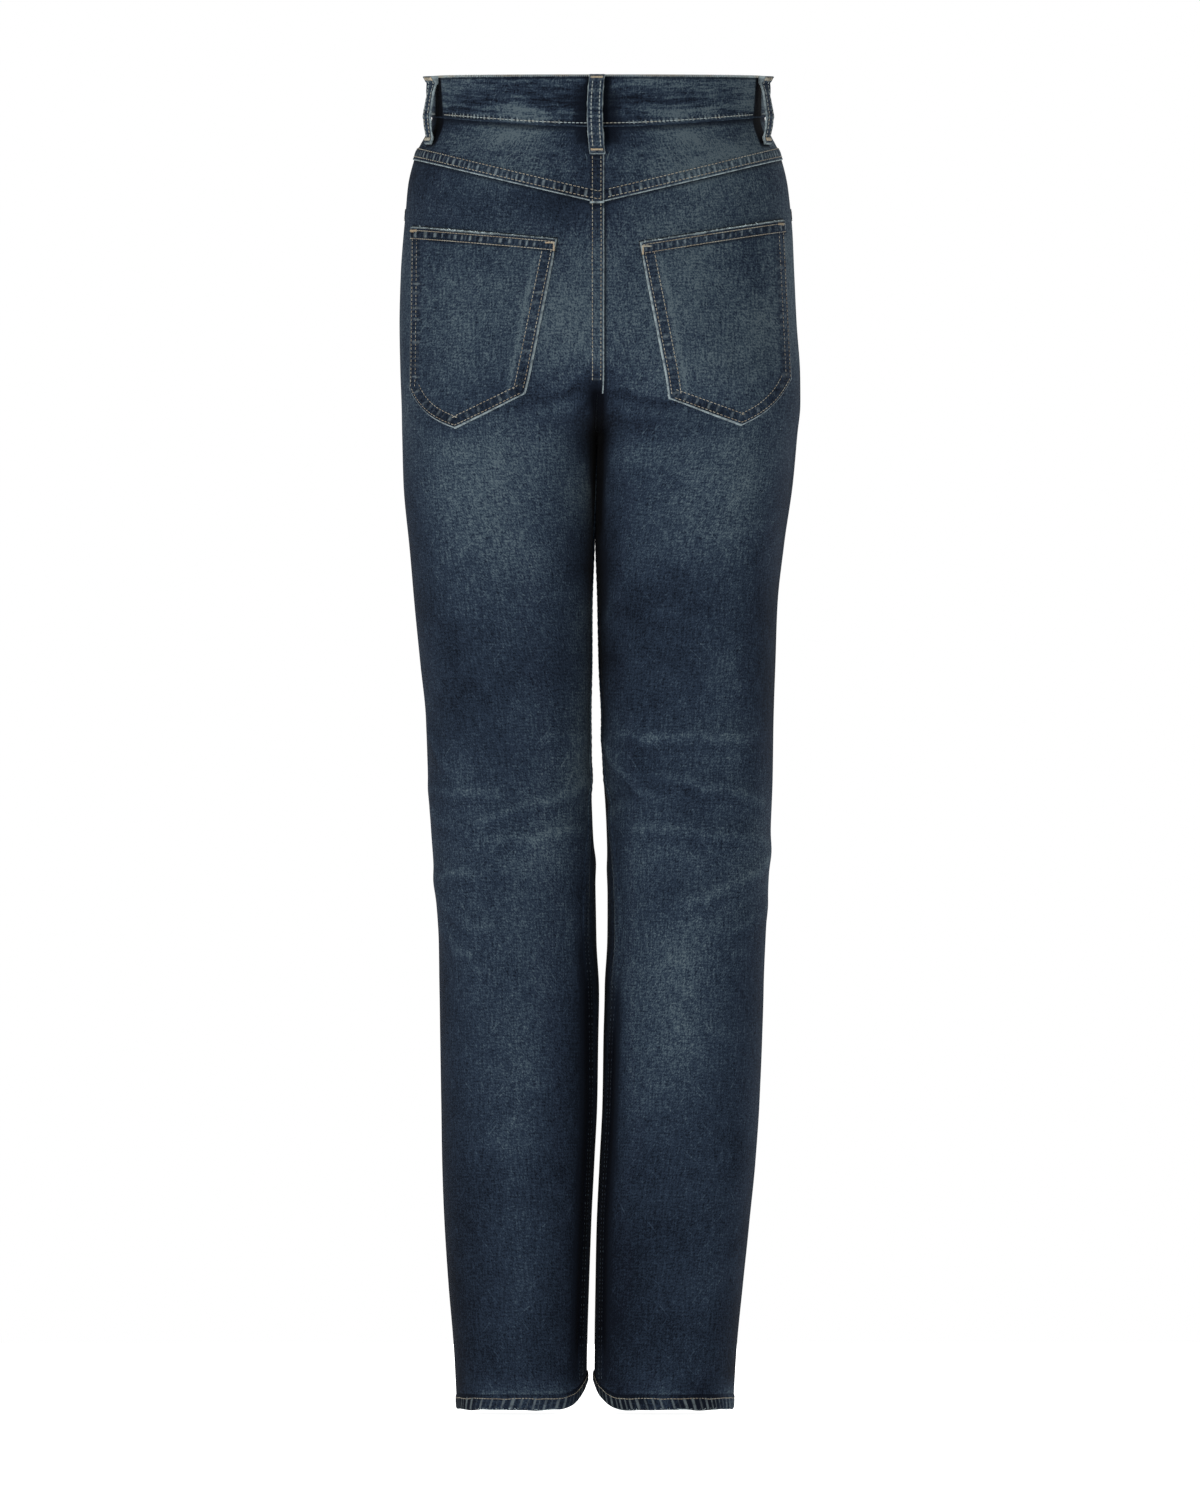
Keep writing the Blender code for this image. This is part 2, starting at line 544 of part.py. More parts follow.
def band_stations():
    """Places round the waistband: (side, face, share, how far the strip lies below its surface)."""
    steps = [k / BAND_STEPS for k in range(BAND_STEPS + 1)]
    places = [(LEFT, FRONT, 1 - t) for t in steps] + [(LEFT, BACK, t) for t in steps[1:]]
    places += [(RIGHT, BACK, 1 - t) for t in steps[1:]]
    places += [(RIGHT, FRONT, t) for t in steps[1:] if t < BAND_TUCK_FROM]
    under = BAND_THICK + PLY_GAP
    stations = [(*place, 0.0) for place in places + [(RIGHT, FRONT, BAND_TUCK_FROM)]]
    stations.append((RIGHT, FRONT, BAND_TUCK_TO, under))
    reach = loop_line(LEFT, FRONT, BAND_TOP_FRONT).reach
    return stations + [(LEFT, FRONT, 1 - BAND_LAP * part / 4 / reach, under) for part in range(5)]


def waistband(name):
    """One strip all round. Its left end meets the centre front, and its right end runs on behind it."""
    outer, inner = [], []
    for side, face, share, sunk in band_stations():
        top, foot = band_top(face, share), band_foot(face, share)
        drops = [top, (top + foot) / 2, foot]
        outer.append([cloth(side, face, drop, share, BAND_PROUD - sunk) for drop in drops])
        inner.append([cloth(side, face, drop, share, BAND_PROUD - BAND_THICK - sunk) for drop in drops])
    return wall(name, outer, inner, "denim_band")


def belt_loop(name, face, band_share, place, on_panel):
    """A strip sewn down at both ends and bowed out between them. band_share says which part of the
    waistband it is on, place gives a point of the garment for a drop, an offset along the cloth and a
    distance out, and on_panel is how far out its lower end is seated."""
    on_band = BAND_PROUD + PLY_GAP
    top, foot = band_top(face, band_share) + GAP, band_foot(face, band_share)
    end = foot + LOOP_TAIL
    outer, inner = [], []
    for k in range(LOOP_STEPS + 1):
        drop = top + (end - top) * k / LOOP_STEPS
        free = (drop - top - LOOP_SEWN) / (end - top - 2 * LOOP_SEWN)
        bow = LOOP_BOW * math.sin(math.pi * min(1.0, max(0.0, free))) ** 0.62
        base = bow + (on_band if drop < foot + 2 * FELL_EDGE else on_panel)
        thick = LOOP_THICK + LOOP_TOP_FOLD * (1 - smooth((drop - top) / (1.5 * LOOP_SEWN)))
        thick += LOOP_FOOT_FOLD * (1 - smooth((end - drop) / (1.5 * LOOP_SEWN)))
        offsets = [LOOP_WIDTH * part for part in (-0.5, 0.0, 0.5)]
        outer.append([place(drop, offset, base + thick) for offset in offsets])
        inner.append([place(drop, offset, base) for offset in offsets])
    return wall(name, outer, inner, "denim_faded")


def belt_loops():
    def by_centre(face, across):
        return lambda drop, offset, out: spot(face, drop, across + offset, out)

    def by_side_seam(side):
        def place(drop, offset, out):
            share = (SIDE_LOOP_BEHIND + offset) / loop_line(side, BACK, drop).reach
            return cloth(side, BACK, drop, share, out)

        return place

    belt_loop("loop_back", BACK, 1.0, by_centre(BACK, 0.0), FELL_LIFT + PLY_GAP)
    for word, side in (("left", LEFT), ("right", RIGHT)):
        belt_loop(f"loop_side_{word}", BACK, 0.0, by_side_seam(side), PLY_GAP)
        share = share_at(side, FRONT, BAND_FOOT_SIDE, FRONT_LOOP_ACROSS)
        place = by_centre(FRONT, side * FRONT_LOOP_ACROSS)
        belt_loop(f"loop_front_{word}", FRONT, share, place, PLY_GAP)


def pocket_outline(shape, part):
    """Where the mouth and the foot are at a share of the pocket's width: (across, drop) of each."""
    mouth = np.array(shape.mouth_outer) * (1 - part) + np.array(shape.mouth_inner) * part
    if part < shape.tip_share:
        t = part / shape.tip_share
        foot = np.array(shape.foot_outer) * (1 - t) + np.array(shape.foot_tip) * t
    else:
        t = (part - shape.tip_share) / (1 - shape.tip_share)
        foot = np.array(shape.foot_tip) * (1 - t) + np.array(shape.foot_inner) * t
    return mouth, foot


def back_pocket(name, side):
    """A patch on the back panel, its mouth turned over and thicker."""
    shape = POCKETS[side]
    parts = sorted({k / POCKET_COLUMNS for k in range(POCKET_COLUMNS + 1)} - {0.4} | {shape.tip_share})
    depth = shape.foot_tip.drop - shape.mouth_outer.drop
    turned = [0.0, POCKET_HEM / depth, (POCKET_HEM + FELL_EDGE) / depth]
    rest = [turned[-1] + (1 - turned[-1]) * k / POCKET_ROWS for k in range(1, POCKET_ROWS + 1)]
    outer, inner = [], []
    for row, down in enumerate(turned + rest):
        hem = FELL_LIFT * 0.8 if row < 2 else 0.0
        outer_row, inner_row = [], []
        for part in parts:
            mouth, foot = pocket_outline(shape, part)
            across, drop = mouth * (1 - down) + foot * down
            share = share_at(side, BACK, drop, across)
            outer_row.append(cloth(side, BACK, drop, share, PLY_GAP + CLOTH + hem))
            inner_row.append(cloth(side, BACK, drop, share, PLY_GAP))
        outer.append(outer_row)
        inner.append(inner_row)
    return wall(name, outer, inner, "denim")


def patch_behind(name, corners, depth, thick, counts, finish):
    """A flat-cut piece behind the front, between two distances across and two drops."""
    (left, top), (right, foot) = corners
    columns, rows = counts
    outer, inner = [], []
    for i in range(rows + 1):
        drop = top + (foot - top) * i / rows
        places = [left + (right - left) * j / columns for j in range(columns + 1)]
        outer.append([spot(FRONT, drop, x, -depth) for x in places])
        inner.append([spot(FRONT, drop, x, -depth - thick) for x in places])
    return wall(name, outer, inner, finish)


def pocket_facing(name, side):
    """The cloth that shows in a front pocket's mouth, sewn in at the side seam and the waistband."""
    columns, rows = 6, 7
    depth = CLOTH + UNDER_GAP
    outer, inner = [], []
    for i in range(rows + 1):
        outer_row, inner_row = [], []
        for j in range(columns + 1):
            reach = loop_line(side, FRONT, SCOOP_DEPTH).reach
            share = (SCOOP_WIDTH + FACING_LAP) / reach * j / columns
            top = band_foot(FRONT, share) + GAP
            drop = top + (SCOOP_DEPTH + FACING_LAP) * i / rows
            outer_row.append(cloth(side, FRONT, drop, share, -depth))
            inner_row.append(cloth(side, FRONT, drop, share, -depth - CLOTH))
        outer.append(outer_row)
        inner.append(inner_row)
    return wall(name, outer, inner, "denim")


def fly_pieces():
    """The zip's tape behind the closed fly, and the shield behind the tape."""
    top = BAND_FOOT_FRONT + UNDER_GAP
    half = ZIP_WIDTH / 2
    tape_depth = CLOTH + UNDER_GAP
    patch_behind("zip", ((-half, top), (half, FLY_END - 0.012)), tape_depth, ZIP_THICK, (4, 8), "tape")
    shield_depth = tape_depth + ZIP_THICK + UNDER_GAP
    half = SHIELD_WIDTH / 2
    corners = ((-half, top), (half, FLY_END - 0.004))
    patch_behind("fly_shield", corners, shield_depth, CLOTH, (4, 8), "denim")


def button():
    """A shank button: a low dome on a rolled rim, lying on the waistband's left end."""
    drop = (BAND_TOP_FRONT + BAND_FOOT_FRONT) / 2
    seat = spot(FRONT, drop, BUTTON_ACROSS, BAND_PROUD + PLY_GAP)
    normal = (spot(FRONT, drop, BUTTON_ACROSS, 0.01) - spot(FRONT, drop, BUTTON_ACROSS, 0.0)).normalized()
    radius, height = BUTTON_RADIUS, BUTTON_HEIGHT
    profile = [(0.0, 0.0), (0.45 * radius, 0.0), (0.45 * radius, 0.35 * height)]
    profile += [(0.92 * radius, 0.38 * height), (radius, 0.58 * height), (0.94 * radius, 0.84 * height)]
    profile += [(0.80 * radius, 0.80 * height), (0.55 * radius, 0.92 * height), (0.0, height)]
    shape = bmesh.new()
    points = [shape.verts.new((across, 0.0, up)) for across, up in profile]
    edges = [shape.edges.new(pair) for pair in zip(points, points[1:])]
    geometry = points + edges
    bmesh.ops.spin(
        shape, geom=geometry, cent=(0, 0, 0), axis=(0, 0, 1), angle=math.tau, steps=20, use_merge=True
    )
    bmesh.ops.remove_doubles(shape, verts=shape.verts, dist=1e-6)
    turn = Vector((0, 0, 1)).rotation_difference(normal)
    bmesh.ops.rotate(shape, verts=shape.verts, cent=(0, 0, 0), matrix=turn.to_matrix())
    bmesh.ops.translate(shape, verts=shape.verts, vec=seat)
    return add_object("button", shape, "metal")


def clear_scene():
    for item in list(bpy.data.objects):
        bpy.data.objects.remove(item)


def build():
    clear_scene()
    for word, side in (("left", LEFT), ("right", RIGHT)):
        back_panel(f"back_{word}", side)
        front_panel(f"front_{word}", side)
        yoke(f"yoke_{word}", side)
        back_pocket(f"pocket_back_{word}", side)
        pocket_facing(f"pocket_facing_{word}", side)
    belt_loops()
    waistband("waistband")
    fly_pieces()
    button()


build()
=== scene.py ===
"""Straight leg jeans in washed indigo denim, filled out as when worn, with no wearer in them.

Metres, +Z up. The front faces -Y and the wearer's left is +X. A "drop" is a distance below the
waistband's top edge at the back. Each leg is a loop of cloth; a "share" runs along a back or front
panel from 0 at the side seam to 1 at its inner end. Every cloth piece is a thin wall laid out from the
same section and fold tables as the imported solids, and rides on the one body.
"""

import json
import math
from collections import namedtuple

import bpy
import numpy as np
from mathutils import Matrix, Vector

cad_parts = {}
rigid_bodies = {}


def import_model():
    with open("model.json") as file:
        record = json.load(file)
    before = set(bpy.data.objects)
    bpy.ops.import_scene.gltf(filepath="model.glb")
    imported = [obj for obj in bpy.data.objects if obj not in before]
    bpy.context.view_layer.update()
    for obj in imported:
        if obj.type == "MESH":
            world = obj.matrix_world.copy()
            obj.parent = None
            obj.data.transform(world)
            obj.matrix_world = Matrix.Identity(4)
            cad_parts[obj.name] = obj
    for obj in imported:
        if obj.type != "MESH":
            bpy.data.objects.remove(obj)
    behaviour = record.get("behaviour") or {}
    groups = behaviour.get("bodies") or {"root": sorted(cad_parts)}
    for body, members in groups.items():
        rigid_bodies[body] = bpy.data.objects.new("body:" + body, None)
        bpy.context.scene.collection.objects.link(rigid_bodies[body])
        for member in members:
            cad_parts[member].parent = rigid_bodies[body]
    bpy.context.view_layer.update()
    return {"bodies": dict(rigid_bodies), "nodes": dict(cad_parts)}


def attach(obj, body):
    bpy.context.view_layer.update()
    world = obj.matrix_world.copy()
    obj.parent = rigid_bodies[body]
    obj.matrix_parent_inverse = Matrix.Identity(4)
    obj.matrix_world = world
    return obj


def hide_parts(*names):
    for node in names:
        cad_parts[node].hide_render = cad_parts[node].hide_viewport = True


bl_info = {
    "name": "Straight Leg Jeans",
    "version": (1, 0, 0),
    "blender": (4, 5, 0),
    "location": "View3D > Sidebar > Jeans",
    "description": "Cloth, seams, stitching and finish of a pair of washed denim jeans",
    "category": "Add Mesh",
}

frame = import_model()
BODY = next(iter(frame["bodies"]))
NODES = set(frame["nodes"])
LOOK = "cloth"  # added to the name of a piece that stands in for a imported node

LEFT, RIGHT = 1, -1
BACK, FRONT = 1, -1
SIDES = (("left", LEFT), ("right", RIGHT))
PANEL_PARTS = ("hip", "knee", "calf")

# ---- sizes shared with the solids
OUTSEAM = 1.080
TOP_EDGE = 0.021
FORK = 0.290
CLOTH = 0.0015
GAP = 0.0003
PLY_GAP = 0.0006
UNDER_GAP = 0.0008
BAND_PROUD = 0.0010
BAND_THICK = 0.0029
BAND_TOP_FRONT = 0.012
BAND_FOOT_SIDE, BAND_FOOT_BACK, BAND_FOOT_FRONT = 0.0335, 0.0425, 0.0500
BAND_LAP = 0.034
BAND_TUCK_FROM, BAND_TUCK_TO = 0.890, 0.985
YOKE_FOOT_SIDE, YOKE_FOOT_BACK = 0.0680, 0.1040
FELL_WIDTH, FELL_LIFT, FELL_EDGE = 0.0095, 0.0010, 0.0018
HEM_HEIGHT, HEM_LIFT = 0.0110, 0.0010
HEM_RISE, HEM_RISE_REACH, HEM_FADE_FROM = 0.022, 0.062, 0.980
SCOOP_WIDTH, SCOOP_DEPTH, SCOOP_SQUARE = 0.066, 0.074, 2.5
FACING_LAP = 0.020
FLY_WIDTH, FLY_STRAIGHT, FLY_END = 0.038, 0.155, 0.196
ZIP_WIDTH, ZIP_THICK, SHIELD_WIDTH = 0.030, 0.0012, 0.044
LOOP_WIDTH, LOOP_THICK, LOOP_TAIL, LOOP_SEWN = 0.0135, 0.0018, 0.0225, 0.006
LOOP_TOP_FOLD, LOOP_FOOT_FOLD, LOOP_BOW = 0.0046, 0.0010, 0.0064
SIDE_LOOP_BEHIND, FRONT_LOOP_ACROSS = 0.021, 0.055
POCKET_HEM = 0.0095
BUTTON_RADIUS, BUTTON_HEIGHT, BUTTON_ACROSS = 0.0085, 0.0042, 0.013
OUTER_SQUARE = 2.25
PAST_INNER = 0.55
SLANT_DEPTH = 0.05
SEAM_HOLD, SEAM_HOLD_END = 0.022, 0.350
EVEN_ABOVE, EVEN_BELOW, STEADY_LINE = 0.215, 0.430, 0.018
BACK_LEVEL, FRONT_LEVEL = 0.202, 0.138

Section = namedtuple("Section", "drop drift left right inner crest front back square turn slant")
SECTIONS = [Section(*row) for row in (
    (0.000, 0.0000, 0.1328, 0.1328, -0.1328, 0.0000, -0.0930, 0.0990, 2.2, 0.000, 0.0000),
    (0.034, 0.0000, 0.1348, 0.1348, -0.1348, 0.0000, -0.0955, 0.1035, 2.2, 0.000, 0.0000),
    (0.064, 0.0000, 0.1482, 0.1474, -0.1478, 0.0000, -0.1000, 0.1100, 2.2, 0.000, 0.0000),
    (0.090, 0.0000, 0.1545, 0.1536, -0.1540, 0.0000, -0.1030, 0.1160, 2.2, 0.000, 0.0000),
    (0.120, 0.0000, 0.1568, 0.1565, -0.1560, 0.0010, -0.1055, 0.1210, 2.2, 0.000, 0.0000),
    (0.160, 0.0000, 0.1597, 0.1583, -0.1500, 0.0080, -0.1075, 0.1260, 2.3, 0.000, 0.0000),
    (0.200, 0.0000, 0.1607, 0.1602, -0.1320, 0.0240, -0.1080, 0.1280, 2.5, 0.000, 0.0000),
    (0.240, 0.0000, 0.1600, 0.1630, -0.0820, 0.0460, -0.1070, 0.1260, 2.8, 0.000, 0.0000),
    (0.265, 0.0000, 0.1588, 0.1634, -0.0400, 0.0600, -0.1050, 0.1215, 3.0, 0.000, 0.0012),
    (0.290, 0.0003, 0.1577, 0.1612, 0.0003, 0.0715, -0.1025, 0.1150, 3.0, 0.000, 0.0025),
    (0.330, 0.0010, 0.1560, 0.1580, 0.0006, 0.0785, -0.0995, 0.1050, 2.9, 0.000, 0.0030),
    (0.380, 0.0026, 0.1500, 0.1524, 0.0013, 0.0768, -0.0955, 0.0950, 2.7, 0.000, 0.0022),
    (0.425, 0.0028, 0.1461, 0.1477, 0.0028, 0.0749, -0.0920, 0.0880, 2.5, 0.000, 0.0008),
    (0.475, 0.0024, 0.1416, 0.1455, 0.0034, 0.0735, -0.0880, 0.0810, 2.4, 0.000, 0.0000),
    (0.520, 0.0017, 0.1377, 0.1433, 0.0048, 0.0727, -0.0845, 0.0760, 2.3, 0.004, 0.0000),
    (0.570, 0.0008, 0.1368, 0.1416, 0.0050, 0.0721, -0.0815, 0.0720, 2.3, 0.014, 0.0000),
    (0.605, -0.0008, 0.1364, 0.1386, 0.0055, 0.0715, -0.0800, 0.0705, 2.3, 0.024, 0.0000),
    (0.650, -0.0024, 0.1348, 0.1352, 0.0049, 0.0700, -0.0785, 0.0700, 2.2, 0.034, 0.0000),
    (0.700, -0.0028, 0.1318, 0.1322, 0.0043, 0.0681, -0.0775, 0.0715, 2.2, 0.038, 0.0000),
    (0.740, -0.0028, 0.1312, 0.1307, 0.0022, 0.0666, -0.0765, 0.0725, 2.2, 0.036, 0.0000),
    (0.780, -0.0020, 0.1298, 0.1303, 0.0020, 0.0660, -0.0755, 0.0725, 2.2, 0.033, 0.0000),
    (0.830, -0.0012, 0.1282, 0.1290, 0.0020, 0.0653, -0.0745, 0.0710, 2.2, 0.030, 0.0000),
    (0.880, 0.0012, 0.1250, 0.1280, 0.0020, 0.0642, -0.0735, 0.0690, 2.2, 0.029, 0.0000),
    (0.930, 0.0036, 0.1207, 0.1254, 0.0021, 0.0626, -0.0725, 0.0670, 2.2, 0.028, 0.0000),
    (0.980, 0.0050, 0.1160, 0.1216, 0.0025, 0.0606, -0.0715, 0.0650, 2.2, 0.028, 0.0000),
    (1.030, 0.0061, 0.1107, 0.1178, 0.0029, 0.0586, -0.0705, 0.0635, 2.2, 0.028, 0.0000),
    (1.080, 0.0065, 0.1077, 0.1152, 0.0032, 0.0573, -0.0700, 0.0625, 2.2, 0.028, 0.0000),
)]

# Folds of the solids, then the smaller creases that only the cloth shows. A height below zero is a
# trough, and tilt is in degrees.
Fold = namedtuple("Fold", "side face drop share half_length width height tilt")
FOLDS = {
    (LEFT, BACK): (
        (0.262, 0.84, 0.046, 0.0100, -0.0030, -14),
        (0.304, 0.86, 0.042, 0.0120, 0.0018, -30),
        (0.536, 0.74, 0.044, 0.0095, 0.0020, 0),
        (0.548, 0.20, 0.036, 0.0100, 0.0022, 38),
        (0.580, 0.27, 0.048, 0.0095, 0.0024, 3),
        (0.585, 0.72, 0.062, 0.0100, 0.0030, -17),
        (0.604, 0.22, 0.034, 0.0095, 0.0018, 18),
        (0.616, 0.68, 0.058, 0.0100, 0.0026, -8),
        (0.648, 0.28, 0.050, 0.0100, 0.0024, -4),
        (0.679, 0.30, 0.044, 0.0100, 0.0022, 24),
        (0.702, 0.26, 0.036, 0.0105, 0.0018, 30),
    ),
    (RIGHT, BACK): (
        (0.266, 0.80, 0.060, 0.0105, -0.0036, -8),
        (0.300, 0.84, 0.050, 0.0120, 0.0022, -24),
        (0.536, 0.55, 0.068, 0.0100, 0.0030, 0),
        (0.560, 0.82, 0.044, 0.0100, 0.0026, -38),
        (0.576, 0.46, 0.062, 0.0095, 0.0026, -12),
        (0.586, 0.92, 0.030, 0.0095, -0.0026, 8),
        (0.614, 0.48, 0.074, 0.0100, 0.0026, -5),
        (0.652, 0.34, 0.066, 0.0100, 0.0030, 22),
        (0.684, 0.26, 0.044, 0.0100, 0.0020, 17),
    ),
    (LEFT, FRONT): (
        (0.236, 0.74, 0.052, 0.0100, 0.0026, -24),
        (0.262, 0.70, 0.048, 0.0100, 0.0020, -34),
        (0.560, 0.72, 0.050, 0.0110, 0.0022, -14),
        (0.628, 0.66, 0.058, 0.0110, 0.0022, 10),
        (0.664, 0.30, 0.046, 0.0110, 0.0018, -16),
    ),
    (RIGHT, FRONT): (
        (0.232, 0.76, 0.056, 0.0105, 0.0028, -22),
        (0.266, 0.68, 0.050, 0.0100, 0.0022, -32),
        (0.552, 0.74, 0.046, 0.0110, 0.0022, -12),
        (0.634, 0.60, 0.062, 0.0110, 0.0024, 8),
        (0.600, 0.26, 0.044, 0.0110, 0.0018, 14),
    ),
}
CREASES = {
    (LEFT, BACK): (
        (0.062, 0.62, 0.018, 0.0045, 0.0006, 62),
        (0.070, 0.34, 0.016, 0.0045, 0.0005, 70),
        (0.112, 0.30, 0.017, 0.0055, 0.0008, 74),
        (0.118, 0.83, 0.016, 0.0060, 0.0008, 35),
        (0.238, 0.90, 0.024, 0.0060, -0.0012, -22),
        (0.310, 0.40, 0.048, 0.0095, 0.0010, 8),
        (0.352, 0.74, 0.040, 0.0090, 0.0010, -24),
        (0.420, 0.70, 0.046, 0.0100, 0.0010, -10),
        (0.486, 0.34, 0.040, 0.0095, 0.0010, 16),
        (0.562, 0.50, 0.022, 0.0055, 0.0010, -10),
        (0.600, 0.52, 0.026, 0.0055, 0.0011, -14),
        (0.634, 0.46, 0.024, 0.0055, 0.0010, 6),
        (0.664, 0.62, 0.030, 0.0065, 0.0009, -6),
        (0.730, 0.52, 0.044, 0.0090, 0.0009, 14),
        (0.790, 0.36, 0.040, 0.0100, 0.0008, -12),
        (0.900, 0.62, 0.040, 0.0110, 0.0008, 10),
    ),
    (RIGHT, BACK): (
        (0.064, 0.40, 0.020, 0.0050, 0.0006, -66),
        (0.074, 0.70, 0.016, 0.0045, 0.0005, -58),
        (0.108, 0.46, 0.018, 0.0055, 0.0007, -72),
        (0.126, 0.85, 0.018, 0.0060, 0.0008, -38),
        (0.244, 0.92, 0.026, 0.0060, -0.0014, -16),
        (0.318, 0.55, 0.052, 0.0100, 0.0011, -12),
        (0.366, 0.30, 0.044, 0.0100, 0.0010, 10),
        (0.432, 0.62, 0.050, 0.0110, 0.0010, -16),
        (0.492, 0.40, 0.044, 0.0100, 0.0011, -6),
        (0.552, 0.30, 0.024, 0.0055, 0.0010, 8),
        (0.596, 0.66, 0.026, 0.0055, 0.0010, -16),
        (0.632, 0.62, 0.026, 0.0060, 0.0010, -4),
        (0.668, 0.66, 0.030, 0.0065, 0.0009, 12),
        (0.716, 0.56, 0.040, 0.0085, 0.0010, 12),
        (0.776, 0.44, 0.042, 0.0100, 0.0008, -9),
        (0.880, 0.40, 0.038, 0.0110, 0.0008, 8),
    ),
    (LEFT, FRONT): (
        (0.214, 0.86, 0.030, 0.0065, 0.0012, -30),
        (0.300, 0.60, 0.050, 0.0095, 0.0010, -20),
        (0.380, 0.55, 0.050, 0.0110, 0.0009, -10),
        (0.520, 0.50, 0.046, 0.0090, 0.0012, 8),
        (0.596, 0.44, 0.030, 0.0065, 0.0010, 12),
        (0.700, 0.50, 0.040, 0.0090, 0.0010, -10),
        (0.820, 0.50, 0.040, 0.0110, 0.0008, 8),
    ),
    (RIGHT, FRONT): (
        (0.210, 0.88, 0.030, 0.0065, 0.0012, -28),
        (0.296, 0.62, 0.046, 0.0095, 0.0010, -18),
        (0.396, 0.50, 0.050, 0.0110, 0.0009, 8),
        (0.514, 0.44, 0.044, 0.0090, 0.0012, -8),
        (0.592, 0.56, 0.030, 0.0065, 0.0010, -10),
        (0.694, 0.46, 0.040, 0.0090, 0.0010, 12),
        (0.840, 0.50, 0.040, 0.0110, 0.0008, -8),
    ),
}

Corner = namedtuple("Corner", "across drop")
PocketShape = namedtuple("PocketShape", "mouth_outer mouth_inner foot_outer foot_tip foot_inner tip_share")
POCKETS = {
    LEFT: PocketShape(
        Corner(0.1500, 0.1228), Corner(0.0335, 0.1335), Corner(0.1512, 0.2530),
        Corner(0.1125, 0.2855), Corner(0.0588, 0.2580), 0.44,
    ),
    RIGHT: PocketShape(
        Corner(0.1487, 0.1172), Corner(0.0335, 0.1363), Corner(0.1548, 0.2455),
        Corner(0.1172, 0.2832), Corner(0.0585, 0.2622), 0.42,
    ),
}

